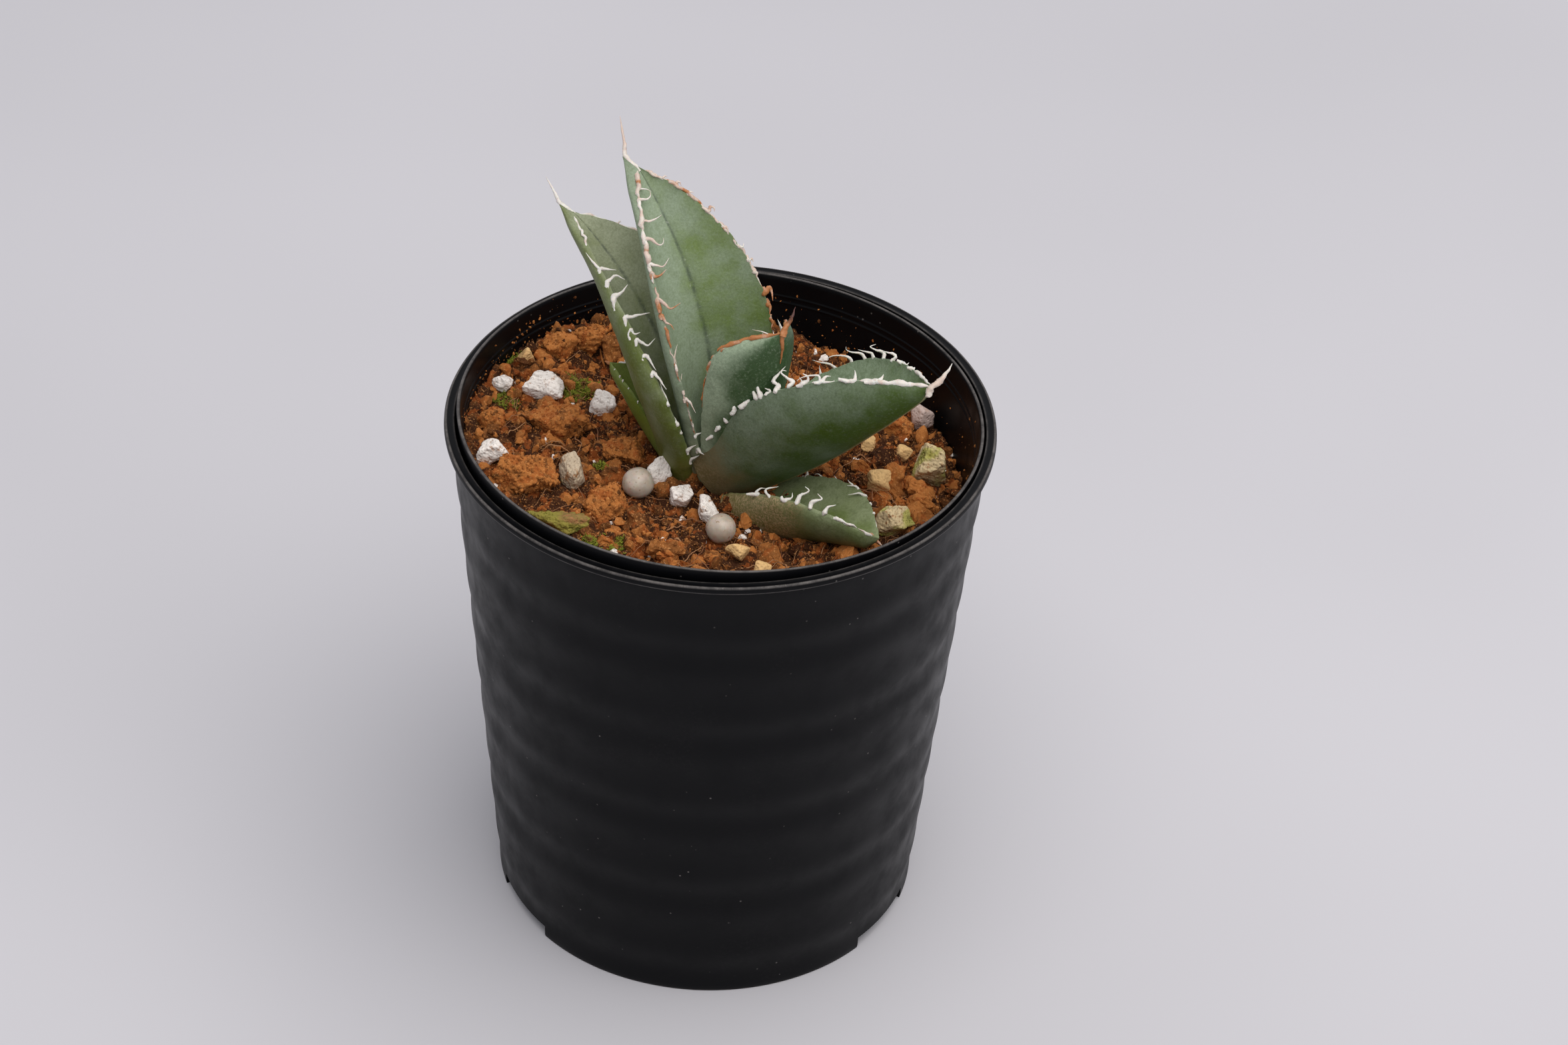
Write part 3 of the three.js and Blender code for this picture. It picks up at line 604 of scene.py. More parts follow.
def mix_earth(settings, name, lighter=0.0, grit=0.35):
    """Crumbly brown earth: drier light crumbs over damp dark ones, with pale and rusty grit.

    The light colour also stands for painted light on lit crumbs, and the dark one for painted
    shade where the 'shade' attribute carries painted shade.
    """
    f = Finish(name, settings.damp_and_shade, 0.85, Specular_IOR_Level=0.22)
    dryness_and_light = f.attribute("shade") * 1.1 + f.noise(0.5, 5, 0.75) * 0.6 + f.noise(5, 3) * 0.6
    r, g, b = settings.dry_and_lit
    f.over(f.level(dryness_and_light, 0.86 - lighter, 1.6 - lighter), (r, g, b))
    f.over(f.level(f.noise(2.2, 3), 0.52, 0.62) * 0.6, (0.75 * r, 0.5 * g, 0.35 * b))
    tan = (min(1, 1.45 * r), min(1, 1.9 * g), min(1, 2.8 * b))
    f.over(f.level(f.noise(grit, 3, 0.6), 0.56, 0.7) * 0.75, tan)
    f.bump(f.noise(0.28, 4, 0.75), 0.22, 0.9)
    return f.done()


def leaf_skin(name, flesh, bloom, base, scurf, shaded_back_tone=0.9, edging=0.45, keel=0.0,
              blotches=0.25, tipward=0.22, slant=0.0, haze=0.0):
    """Waxy leaf: grey bloom over green flesh, painted shade in the rib's crease and a dusty,
    brownish root.

    Scurf is the share of the length over which the back is brown and rough, shaded_back_tone how light
    the back is beside the front, as painted shade on the back, edging how much the bloom keeps to
    the margins, keel how pale the rib's back is, blotches how strongly dark spots show, tipward and
    slant how the bloom gains towards the tip and the left, and haze how much more of it there is in
    all; the bloom's spread is partly painted light and shade.
    """
    f = Finish(name, flesh, Specular_IOR_Level=0.3)
    along, across, back = (f.attribute(key) for key in ("along", "across", "back"))
    edge, front = abs(across), 1 - back
    cloud = f.noise(6, 5, 0.62)
    # Bloom, partly painted light and shade: its spread lightens and darkens parts of each blade, and the
    # back gets less of it, which is painted shade there.
    bloom_and_shading = cloud * 1.5 + edge * edging + along * tipward - across * slant - back * 0.22
    f.over(f.level(bloom_and_shading, 0.6 - haze, 1.35 - haze), bloom)
    deep = toned(flesh, 0.55)
    f.over(f.level(f.noise(1.5, 5, 0.7), 0.47, 0.7) * blotches, deep)
    f.over(f.level(f.noise(0.4, 3, 0.8), 0.35, 0.65, 0, 0.3), deep)
    f.over(f.level(f.noise(0.45, 4, 0.75), 0.5, 0.72) * 0.35, bloom)
    # Painted shade: a dark line along the creased rib on the front.
    rib = f.level(edge, 0.06, 0.0) * front * f.level(f.noise(1.5, 3), 0.35, 0.6, 0.35, 1)
    f.over(rib * 0.6, (0.03, 0.045, 0.035))
    scuff = f.level(edge, 0.11, 0.03) * f.level(f.noise(0.6, 4, 0.8), 0.6, 0.66) * front
    f.over(scuff * 0.4, (0.5, 0.52, 0.45))
    near_root = along + f.noise(4, 4) * 0.2
    f.over(f.level(near_root, 0.36, 0.12, 0, 0.8), base)
    brown = f.level(near_root, scurf + 0.22, scurf - 0.02) * back
    f.over(brown * 0.42, (0.2, 0.125, 0.025))
    f.over(brown * f.level(f.noise(0.4, 5, 0.85), 0.45, 0.58) * 0.8, (0.46, 0.34, 0.19))
    # Painted shade on the back: black laid over it, as strongly as shaded_back_tone says.
    f.over(back * (1 - shaded_back_tone), (0, 0, 0))
    f.over(f.level(edge, 0.04, 0.01) * (back * keel), (0.3, 0.24, 0.12))
    f.bump(f.noise(2.2, 3), 0.14, 0.5)
    f.bump(f.noise(0.4, 3, 0.7), 0.06, 0.9)
    return f.done(f.level(cloud, 0.3, 0.7, 0.42, 0.6))


def horn_finish(settings):
    """Horny teeth and spines: ivory white, turning tan and rust where the tint says."""
    f = Finish("leaf_horn", settings.horn, 0.42, Subsurface_Weight=0.1, Subsurface_Scale=0.0006)
    tint = f.attribute("tint") + f.noise(0.9, 4, 0.7) * 0.5 - 0.2
    tan = tuple(0.6 * a + 0.4 * b for a, b in zip(settings.horn, settings.rust))
    f.over(f.level(tint, 0.2, 0.6), tan)
    f.over(f.level(tint, 0.6, 0.95), settings.rust)
    f.over(f.level(tint, 1.25, 1.6), (0.07, 0.018, 0.012))
    f.over(f.level(f.noise(0.6, 4, 0.8), 0.6, 0.7) * 0.45, (0.2, 0.08, 0.035))
    f.bump(f.noise(0.35, 4, 0.7), 0.08, 0.8)
    return f.done()


def stone_finish(name, pale, dark, moss, specks):
    """Pitted stone with dark specks, earth dust and, where the 'mossy' attribute says, moss."""
    f = Finish(name, pale, 0.85, Specular_IOR_Level=0.25)
    f.over(f.level(f.noise(1.6, 4), 0.35, 0.7), toned(pale, 0.82))
    f.over(f.level(f.noise(0.42, 4, 0.8), 0.58, 0.66) * specks, dark)
    f.over(f.level(f.noise(1.8, 5, 0.75), 0.55, 0.63) * specks, (0.36, 0.17, 0.07))
    mossy = f.attribute("mossy") + f.noise(0.7, 4, 0.7) * 0.5
    f.over(f.level(mossy, 0.72, 0.95, 0, 0.85), moss)
    f.over(f.level(mossy, 1.1, 1.35, 0, 0.8), toned(moss, 0.3))
    f.bump(f.level(f.cells(0.55), 0.0, 0.6), 0.16, 0.7)
    f.bump(f.noise(0.3, 3), 0.08, 0.7)
    return f.done()


def prill_finish():
    """Coated fertiliser bead, waxy and a little see-through."""
    f = Finish("fertiliser_coat", (0.42, 0.36, 0.29), 0.32, Subsurface_Weight=0.6,
               Subsurface_Scale=0.002, Specular_IOR_Level=0.5)
    f.over(f.level(f.noise(2.2, 3), 0.35, 0.7), (0.55, 0.48, 0.4))
    f.over(f.level(f.noise(0.5, 3), 0.6, 0.72), (0.3, 0.2, 0.12))
    f.bump(f.noise(0.8, 2), 0.03, 0.4)
    return f.done()


def moss_finish(settings):
    f = Finish("moss_leaves", toned(settings.moss, 0.3), 0.8, Specular_IOR_Level=0.2)
    f.over(f.attribute("shade"), tuple(min(1.0, 1.3 * c) for c in settings.moss))
    f.over(f.level(f.noise(1.5, 2), 0.55, 0.65), (0.2, 0.1, 0.03))
    return f.done()


def fibre_finish():
    """Dry root fibres, from straw to red-brown."""
    f = Finish("root_fibre", (0.4, 0.2, 0.085), 0.7)
    f.over(f.attribute("tint"), (0.2, 0.065, 0.022))
    return f.done()


# ------------------------------------------------------------------ pots

# Rows of a rolled lip or rim, up its outside and over it: how far inwards, how far down, wear.
# The wear also lays a painted highlight along the lip and the rim's top.
OUTER_LIP = ((0.3, 1.3, 0), (0.1, 1.2, 0.3), (0.01, 1.05, 0.75), (0, 0.85, 0), (0.03, 0.4, 0),
             (0.12, 0.2, 0.55), (0.26, 0.06, 0.9), (0.42, 0, 0.75), (0.6, 0.03, 0),
             (0.95, 0.12, 0), (1.3, 0.06, 0.1))
OUTER_BORE = ((-0.15, 0.02, 0.6), (-0.03, 0.1, 0.6), (0, 0.25, 0))
INNER_RIM = ((0, 0.3, 0), (0.03, 0.12, 0.5), (0.12, 0.02, 0.95), (0.3, 0, 0.95), (0.45, 0.04, 0.7))
OUTER_ROWS, BORE_ROWS, INNER_ROWS = 140, 12, 30


def edge_points(radius, top, rows):
    return [(radius - inwards, top - down, wear) for inwards, down, wear in rows]


def outer_profile():
    """Closed profile [radius, height, wear] of the outer pot, up its outside and down its bore.

    Its wear also lays a painted highlight along the lip.
    """
    o = OUTER
    wall_end = o["height"] - o["lip_height"] - o["lip_underside"]
    foot, inside = o["foot_radius"], o["foot_radius"] - o["foot_width"]
    points = [(0, o["floor_underside"], 0), (inside, o["floor_underside"], 0), (inside, 0.25, 0),
              (inside + 0.25, 0, 0.3), (foot - 0.3, 0, 0.3), (foot - 0.08, 0.1, 0.5)]
    depth = bpy.context.scene.agave.pot.ripple_depth / MM
    for i in range(1, OUTER_ROWS + 1):
        share = i / OUTER_ROWS
        place = o["waves"] * share
        ripple = depth * (0.8 + 0.3 * math.sin(3.1 * place)) * math.sin(math.pi * place) ** 2
        radius = foot + (o["wall_top"] - foot) * share - ripple
        points.append((radius, wall_end * share, 0))
    top = o["height"]
    points.append((o["wall_top"] + 0.3, wall_end + 0.12, 0))
    points += edge_points(o["lip_radius"], top, OUTER_LIP) + edge_points(o["lip_bore"], top, OUTER_BORE)
    bore = foot - o["wall"] + o["floor_fillet"] / 2
    for i in range(1, BORE_ROWS + 1):
        share = i / BORE_ROWS
        height = top - 0.25 + (o["floor_top"] + o["floor_fillet"] - top + 0.25) * share
        points.append((o["lip_bore"] + (bore - o["lip_bore"]) * share, height, 0))
    points += [(bore - o["floor_fillet"], o["floor_top"], 0), (0, o["floor_top"], 0)]
    return points


def inner_radius(height):
    """Outside radius of the inner pot at a height above its own floor."""
    n = INNER
    return n["foot_radius"] + (n["rim_radius"] - n["foot_radius"]) * height / n["height"]


def inner_profile():
    """Closed profile of the inner pot, with two moulded rings inside its rim."""
    n = INNER
    points = [(0, 0, 0), (n["foot_radius"] - 0.4, 0, 0), (n["foot_radius"], 0.4, 0)]
    for i in range(1, INNER_ROWS):
        height = n["height"] * i / INNER_ROWS
        points.append((inner_radius(height), height, 0))
    top = n["height"]
    points += edge_points(n["rim_radius"], top, (*INNER_RIM, (n["wall"], 0.2, 0)))
    height = top - 0.9
    rings = (3.6, 4.7)
    while height > n["floor"] + 1:
        below = top - height
        ridge = sum(0.16 * math.exp(-(((below - r) / 0.16) ** 2)) for r in rings)
        points.append((inner_radius(height) - n["wall"] - ridge, height, 0))
        height -= 0.12 if below < 6 else 2.0
    points += [(inner_radius(n["floor"]) - n["wall"] - 0.5, n["floor"], 0), (0, n["floor"], 0)]
    return points


def inner_place():
    """Matrix of the tilted inner pot, in millimetres: its rim's centre is on the outer axis."""
    up = Vector((INNER["tilt_across"], INNER["tilt_back"], 1)).normalized()
    turn = Vector((0, 0, 1)).rotation_difference(up).to_matrix().to_4x4()
    return Matrix.Translation(Vector((0, 0, INNER["rim_centre_height"])) - up * INNER["height"]) @ turn


def prism(centre, radius, low, high, facets):
    """Points and faces of an upright prism."""
    turn = 2 * np.pi * (np.arange(facets) + 0.5) / facets
    ring = np.stack([centre[0] + radius * np.cos(turn), centre[1] + radius * np.sin(turn)], 1)
    points = np.concatenate([np.c_[ring, np.full(facets, low)], np.c_[ring, np.full(facets, high)]])
    sides = [(j, (j + 1) % facets, facets + (j + 1) % facets, facets + j) for j in range(facets)]
    return points, [tuple(range(facets))[::-1], tuple(range(facets, 2 * facets)), *sides]


def pot_cutter(name, floor, notched):
    """Drain holes, and foot notches where asked, as one object to cut with."""
    points, faces = [], []

    def keep(shape):
        start = sum(len(p) for p in points)
        points.append(shape[0])
        faces.extend(tuple(start + i for i in face) for face in shape[1])

    count = OUTER["notch_count"]
    turns = [math.radians(OUTER["notch_first"] + 360 / count * i) for i in range(count)]
    half_cut = DRAIN["cut"] / 2
    places = [(0, 0)]
    places += [(DRAIN["ring_radius"] * math.cos(a), DRAIN["ring_radius"] * math.sin(a)) for a in turns]
    for place in places:
        keep(prism(place, DRAIN["radius"], floor - half_cut, floor + half_cut, DRAIN["facets"]))
    if notched:
        chord = 2 * OUTER["foot_radius"] * math.sin(math.radians(OUTER["notch_sweep"] / 2))
        for a in turns:
            block, sides = prism((0, 0), math.sqrt(0.5), -OUTER["notch_height"],
                                 OUTER["notch_height"], 4)
            block = block * (4 * OUTER["foot_width"], chord, 1) + (OUTER["foot_radius"], 0, 0)
            keep((block @ spin_matrix(a), sides))
    return new_object(name, np.concatenate(points), faces)


# Heights between which earth dust lies on the inner pot's wall, and how far it fades upwards.
DUST = dict(bottom=78, top=95, fade=9)
# The circle that the pots' profiles are swept along.
SWEEP = dict(radius=40.0, segments=224)


def turned_pot(name, profile, cutter, material, wobble=0.0):
    """Pot turned from its profile by the tree. The wobble is in metres."""
    line = np.array([(r - SWEEP["radius"], -z, 0) for r, z, _ in profile])
    edges = [(i, i + 1) for i in range(len(line) - 1)]
    pot = new_object(name, line, [], edges, {"wear": [w for _, _, w in profile]})
    grow(pot, turned_tree(), path_radius=SWEEP["radius"] * MM, segments=SWEEP["segments"],
         wobble=wobble, cutter=cutter, material=material)
    bpy.data.objects.remove(cutter)
    face_outwards(pot)
    return pot


# ------------------------------------------------------------------ planting mix

def mix_height(x, y):
    """Height of the mix before its lumps: banked up on the left, dipped round the stem."""
    away = (x - ROSETTE[0]) ** 2 + (y - ROSETTE[1]) ** 2
    hollow = np.exp(-away / MIX["hollow_radius"] ** 2)
    return MIX["centre_height"] - MIX["fall_per_mm"] * x - MIX["hollow_depth"] * hollow


def near_grains(x, y):
    """1 under a grain, falling to 0 about a millimetre past its side."""
    near = np.zeros(np.shape(x))
    for _, gx, gy, width, depth, *_ in GRAINS:
        reach = (width + depth) / 4 + 1.1
        near = np.maximum(near, np.clip(2.2 - 2.2 * np.hypot(x - gx, y - gy) / reach, 0, 1))
    return near


# Dips between the lumps, darkened with painted shade: place, reach and depth in millimetres.
DIPS = ((-20.6, 20.2, 4.5, 2.2), (11.2, -22.9, 2.6, 1.2), (-9.0, 9.5, 3.5, 1.5), (-23.2, 3.5, 1.8, 1.0))


def dipped(x, y):
    """How deep in a dip each place lies, and how much it belongs to one."""
    share = [np.exp(-((x - cx) ** 2 + (y - cy) ** 2) / reach**2) for cx, cy, reach, _ in DIPS]
    return sum(s * dip[3] for s, dip in zip(share, DIPS)), np.clip(sum(share), 0, 1)


def mix_relief(x, y):
    """Lumps of the mix at a place, and the shade of the crumb there.

    The shade is a random tone with painted shade: darker in low places and dips, lighter on high lumps.
    """
    flat = np.stack([x, y, np.zeros_like(x)], -1)
    flat = flat + 0.5 * np.stack([noise(flat, 1.7, 71), noise(flat, 1.7, 72), 0 * x], -1)
    coarse, own = cells(flat, 3.6, 11)
    middle, own_middle = cells(flat, 1.5, 23)
    small, own_small = cells(flat, 0.75, 37)
    lumps = 2.3 * (own - 0.15) * np.clip(1 - 1.9 * coarse**2, 0, 1)
    lumps += 1.1 * own_middle * np.clip(1 - 2.4 * middle**2, -0.3, 1)
    lumps += 0.45 * own_small * np.clip(1 - 2.4 * small**2, -0.3, 1)
    lumps += 0.7 * noise(flat, 8, 5) + 0.4 * rough(flat, 0.8, 3, 9) - 1.15
    near = near_grains(x, y)
    lumps = lumps * (1 - 0.6 * near) - 0.5 * near
    depth, share = dipped(x, y)
    lumps = lumps - depth
    # Painted shade: high lumps get a lighter shade, low ones and the dips a darker one.
    shade = 0.35 * own_middle + 0.2 * own + 0.2 * own_small + 0.16 * np.clip(lumps + 0.8, -1, 1.6)
    shade = shade - 0.5 * share
    return lumps, shade


def mix_bed(material):
    """Closed bed of mix: a fine lumpy top inside the wall, a skirt down it and a floor."""
    to_world = inner_place()
    to_pot = np.array(to_world.inverted())
    world = np.array(to_world)
    spokes, rings = 540, 168
    turn = 2 * np.pi * np.arange(spokes) / spokes
    share = np.linspace(1, 1 / rings, rings)[:, None]
    floor = INNER["floor"] + MIX["gap"]
    wide = inner_radius(INNER["height"] - 8) - INNER["wall"] - MIX["gap"]
    x, y = wide * share * np.cos(turn), wide * share * np.sin(turn)
    lumps, shade = mix_relief(x, y)
    z = mix_height(x, y) + lumps
    local = np.stack([x, y, z, np.ones_like(x)], -1) @ to_pot.T
    edge = (inner_radius(local[..., 2]) - INNER["wall"] - 0.05) * share
    local[..., :2] *= (edge / np.hypot(local[..., 0], local[..., 1]))[..., None]
    skirt = local[:1].copy()
    skirt[..., 2] = floor
    shrink = (inner_radius(floor) - INNER["wall"] - MIX["gap"]) / edge[0]
    skirt[0, :, :2] *= shrink[:, None]
    grid = np.concatenate([skirt, local]) @ world.T
    points = grid[..., :3].reshape(-1, 3)
    last = len(points)
    middle = mix_height(0.0, 0.0) - 0.5
    base = (world @ [0, 0, floor, 1])[:3]
    points = np.concatenate([points, [[0, 0, middle], base]])
    faces = ring_faces(rings, spokes)
    inner_ring = rings * spokes
    for j in range(spokes):
        k = (j + 1) % spokes
        faces += [(inner_ring + j, inner_ring + k, last), (k, j, last + 1)]
    shades = np.concatenate([np.zeros(spokes), shade.ravel(), [0.5, 0.5]])
    cover = np.concatenate([np.zeros(2 * spokes), np.ones((rings - 1) * spokes), [1, 0]])
    bed = new_object("potting_mix_bed", points, faces, attributes={"shade": shades, "cover": cover})
    bed.data.materials.append(material)
    face_outwards(bed)
    return bed


def strew(name, source, cover, tree, slot, material, nodes=(), smooth=False, **values):
    """Piece of what a tree strews on another piece, as densely as the cover at its points says."""
    mesh = source.data.copy()
    kept = mesh.attributes.get("cover") or mesh.attributes.new("cover", "FLOAT", "POINT")
    kept.data.foreach_set("value", np.asarray(cover, np.float32))
    thing = grow(linked(name, mesh), tree, material=material, **values)
    finish_piece(thing, material, nodes, smooth=smooth)


def mesh_points(thing):
    """Points of a piece, in millimetres."""
    flat = np.empty(3 * len(thing.data.vertices))
    thing.data.vertices.foreach_get("co", flat)
    return flat.reshape(-1, 3) / MM


def surface_height(x, y):
    return mix_height(x, y) + mix_relief(np.asarray(x, float), np.asarray(y, float))[0]


def fibre(start, heading, length, lift, seed, width, points):
    """Wandering root fibre lying on the mix: its line and widths."""
    steps = np.arange(points)
    bend = np.cumsum(0.3 * (2 * hashed(np.stack([steps, steps * 0 + seed, steps * 0], -1), 5) - 1))
    angle = math.radians(heading) + bend
    step = length / (points - 1)
    x = start[0] + np.concatenate([[0], np.cumsum(step * np.cos(angle[1:]))])
    y = start[1] + np.concatenate([[0], np.cumsum(step * np.sin(angle[1:]))])
    z = surface_height(x, y)
    smooth = np.convolve(np.pad(z, 2, "edge"), np.ones(5) / 5, "valid")
    arch = lift * np.sin(np.pi * steps / (points - 1))
    widths = width * (1 - 0.75 * steps / (points - 1))
    return np.stack([x, y, np.maximum(z, smooth) + 0.1 + arch], -1), widths


# Crumbs lie above the lowest height and within the radius, lumps within their own radius and
# outside the bare one round the rosette, and moss above its own height.
STREWN = dict(lowest=76, radius=40.2, lump_radius=36, bare_radius=9, moss_lowest=79)
# Loose fibres besides the seen ones: how many, where they may start, how far out they may reach.
FIBRES = dict(count=420, start_radius=37, radius=38)

# Places of moss on the mix: x, y, radius, share covered.
MOSS_PATCHES = ((-24.8, 14.8, 4.4, 1.0), (-35.0, 21.0, 2.4, 0.8), (-16.3, -25.6, 2.6, 1.0),
                (-35.6, 9.0, 2.6, 0.6), (-18.4, -6.2, 2.2, 1.0), (-20.0, -26.6, 1.8, 0.9))

# Fibres read off the photograph: start x and y, heading, length, lift, tint, radius.
SEEN_FIBRES = (
    (-12.2, 4.0, -95, 9.5, 1.0, 0.5, 0.12), (4.0, -28.0, 12, 10, 1.2, 0.3, 0.12),
    (7.0, -30.0, 40, 5, 0.8, 0.2, 0.12), (12.0, -28.5, 150, 7, 1.0, 0.4, 0.12),
    (-35.0, -5.0, -40, 12, 1.2, 0.3, 0.12), (-24.0, 0.0, -60, 9, 2.2, 0.3, 0.12),
    (-29.0, -4.0, 20, 8, 1.5, 0.1, 0.12), (-20.0, -4.0, -30, 10, 1.0, 0.3, 0.12),
    (-8.0, -20.0, 10, 6, 0.6, 0.2, 0.12), (26.0, 4.0, 160, 9, 1.2, 0.3, 0.12),
    (22.0, -3.0, -40, 7, 0.8, 0.2, 0.12), (-16.0, -10.0, -20, 6, 0.7, 0.1, 0.12),
    (-30.0, 16.0, -20, 8, 1.0, 0.4, 0.12), (30.0, -8.0, 100, 8, 1.0, 0.5, 0.12),
    (-5.0, -28.0, 70, 6, 0.8, 0.3, 0.12), (-7.4, -22.6, -62, 3.2, 0.5, 0.15, 0.34),
    (-12.9, 15.5, -85, 8, 2.5, 0.4, 0.14),
)


def root_fibres():
    """Loose fibres over the mix: the ones seen, and more of them drawn with a fixed seed."""
    rng = np.random.default_rng(41)
    lines = []
    for i, (x, y, heading, length, lift, tint, radius) in enumerate(SEEN_FIBRES):
        line, widths = fibre((x, y), heading, length, lift, 400 + i, radius, 16)
        lines.append((line, widths, tint))
    for i in range(FIBRES["count"]):
        radius = FIBRES["start_radius"] * math.sqrt(rng.uniform(0.02, 0.97))
        around = rng.uniform(0, math.tau)
        length = rng.uniform(1.5, 8)
        start = (radius * math.cos(around), radius * math.sin(around))
        line, widths = fibre(start, rng.uniform(0, 360), length, rng.uniform(0, 1.1), i,
                             rng.uniform(0.04, 0.11), 9)
        if (np.hypot(line[:, 0], line[:, 1]) < FIBRES["radius"]).all():
            lines.append((line, widths, rng.uniform(0, 1)))
    return lines


# ------------------------------------------------------------------ grains

def icosphere(levels):
    """Unit directions and triangles of an icosphere."""
    ball = bmesh.new()
    bmesh.ops.create_icosphere(ball, subdivisions=levels, radius=1)
    points = np.array([v.co for v in ball.verts])
    faces = [tuple(v.index for v in f.verts) for f in ball.faces]
    ball.free()
    return points, faces


# Form of each kind of grain: how many flats, how blocky, then its lumps, its finer grain and its
# pits as shares of the radius.
GRAIN_FORMS = {
    "perlite": (9, 14, 0.1, 0.05, 0.1),
    "stone_pink": (9, 12, 0.06, 0.03, 0.02),
    "clod": (5, 22, 0.14, 0.12, 0.08),
    "pumice": (7, 16, 0.1, 0.06, 0.08),
    "fertiliser": (0, 1, 0.02, 0.0, 0.0),
    "moss_clump": (6, 7, 0.18, 0.14, 0.04),
    "pebble": (8, 8, 0.08, 0.04, 0.03),
    "stone_mossy": (6, 18, 0.1, 0.06, 0.08),
}
# How mossy a kind is. Tufts grow only on kinds above the second number.
MOSSY = {"pumice": 0.45, "moss_clump": 0.85, "stone_mossy": 0.7}
TUFTED = 0.6
# Grains wider or higher than this get a finer mesh.
LARGE = 6


def grain_points(row, seed):
    """Points and faces of one grain: a soft many-sided block with lumps, grain and pits."""
    kind, x, y, width, depth, height, sunk = row
    flats, blocky, lump, fine, pit = GRAIN_FORMS[kind]
    directions, faces = icosphere(6 if max(width, depth, height) > LARGE else 5)
    rng = np.random.default_rng(900 + seed)
    reach = np.ones(len(directions))
    if flats:
        normals = unit(rng.normal(size=(flats + 5, 3)))
        distances = rng.uniform(0.7, 1.0, len(normals))
        facing = np.clip(directions @ normals.T / distances, 0, None)
        reach = (facing ** blocky).sum(1) ** (-1 / blocky)
        reach = np.clip(reach, 0.55, 1.35)
        reach /= np.quantile(reach, 0.9)
    size = np.array([width, depth, height]) / 2
    p = directions * reach[:, None]
    world = p * size + seed * 37.0
    mean = size.mean()
    reach = 1 + lump * rough(world, 0.55 * mean, 3, seed)
    if fine:
        bumps, own = cells(world, 0.8 if kind in ("clod", "moss_clump") else 0.6, seed)
        reach += fine * (own * (1 - 1.6 * bumps**2))
        bumps, own = cells(world, 0.4, seed + 9)
        reach += 0.35 * fine * own * (1 - 1.6 * bumps**2)
    if pit:
        hole, own = cells(world, 0.75, seed + 50)
        reach -= pit * np.clip(1 - (hole / 0.42) ** 2, 0, 1) * (own > 0.35)
    p = p * reach[:, None]
    span = (p.max(0) - p.min(0)) / 2
    p = (p - (p.max(0) + p.min(0)) / 2) / span * size
    turn = spin_matrix(rng.uniform(-0.4, 0.4))
    p = p @ turn + (x, y, mix_height(x, y) + height * (0.5 - sunk))
    return p, faces


# ------------------------------------------------------------------ leaves

def rib_frames(leaf, t):
    """Place and directions along a leaf's midrib at the shares t, evenly spaced from 0."""
    rise = np.radians(leaf["rise_root"] + (leaf["rise_tip"] - leaf["rise_root"]) * t)
    azimuth = np.radians(leaf["azimuth"] + leaf["swing"] * t)
    along = np.stack([np.cos(rise) * np.cos(azimuth), np.cos(rise) * np.sin(azimuth), np.sin(rise)], -1)
    start = math.radians(leaf["azimuth"])
    root = np.array([ROSETTE[0] + leaf["root_radius"] * math.cos(start),
                     ROSETTE[1] + leaf["root_radius"] * math.sin(start), leaf["root_height"]])
    step = leaf["length"] * np.diff(t)[:, None] / 2
    at = root + np.concatenate([np.zeros((1, 3)), np.cumsum((along[1:] + along[:-1]) * step, axis=0)])
    level = np.stack([np.sin(azimuth), -np.cos(azimuth), 0 * azimuth], -1)
    out = np.cross(level, along)
    turn = np.radians(leaf["turn_root"] + leaf["turn_gain"] * t)[:, None]
    right = level * np.cos(turn) + out * np.sin(turn)
    up = out * np.cos(turn) - level * np.sin(turn)
    return at, along, right, up


def half_width(leaf, t):
    below = np.sin(np.pi / 2 * np.clip(t / leaf["widest_at"], 0, 1)) ** BLADE["swell_power"]
    swelling = leaf["root_share"] + (1 - leaf["root_share"]) * below
    past = np.clip((t - leaf["widest_at"]) / (1 - leaf["widest_at"]), 0, 1)
    share = np.where(t < leaf["widest_at"], swelling, 1 - past ** leaf["tip_power"])
    tip = BLADE["tip_half_width"] * np.clip((1.004 - t) / 0.03, 0.15, 1) ** 0.7
    return np.maximum(tip, leaf["half_width"] * share)


def tip_shift(leaf, end, t):
    """How far a leaf's channel or keel ends from its plain tip, coming on towards the tip."""
    right, up = leaf.get(end, (0.0, 0.0))
    return (np.clip((t - 0.76) / 0.24, 0, 1) ** 2)[:, None] * (right * SEEN_RIGHT + up * SEEN_UP)


def blade_surface(leaf, t, v):
    """Channel face at shares t and v: points, directions across and out of the face."""
    at, _, right, up = (a[:, None, :] for a in rib_frames(leaf, t))
    side = np.where(v < 0, -1.0, 1.0)
    share = np.abs(v)
    rib = math.radians(leaf["fold_rib"])
    edge = np.radians(np.where(v < 0, leaf["fold_left"], leaf["fold_right"]))
    gain = edge - rib
    end = rib + gain * share
    across = (np.sin(end) - math.sin(rib)) / gain
    rise = (math.cos(rib) - np.cos(end)) / gain
    width = half_width(leaf, t)[:, None, None]
    across, rise, end, side = (a[None, :, None] for a in (across, rise, end, side))
    points = at + right * side * width * across + up * width * rise
    points = points + tip_shift(leaf, "channel_end", t)[:, None]
    outward = right * side * np.cos(end) + up * np.sin(end)
    facing = up * np.cos(end) - right * side * np.sin(end)
    return points, outward, facing


def blade_depth(leaf, t, v):
    """Thickness of the blade. A blunt side keeps some of it right up to its rounded margin."""
    share = np.abs(v)
    body = leaf["thickness"] * (1 - share ** BLADE["section_power"])[None, :]
    blunt = np.where(v < 0, leaf.get("blunt_left", 0.0), leaf.get("blunt_right", 0.0))
    round_off = np.clip((share - 1 + BLADE["rounding"]) / BLADE["rounding"], 0, 1)
    blunt = (blunt * np.sqrt(1 - round_off**2))[None, :] * np.clip(12 * (1.0 - t), 0, 1)[:, None]
    closing = np.clip((1.004 - t) / 0.06, 0.1, 1)[:, None] ** 0.6
    whole = (body + blunt) * (1 - BLADE["thinning"] * t[:, None]) + BLADE["edge"]
    return whole * closing


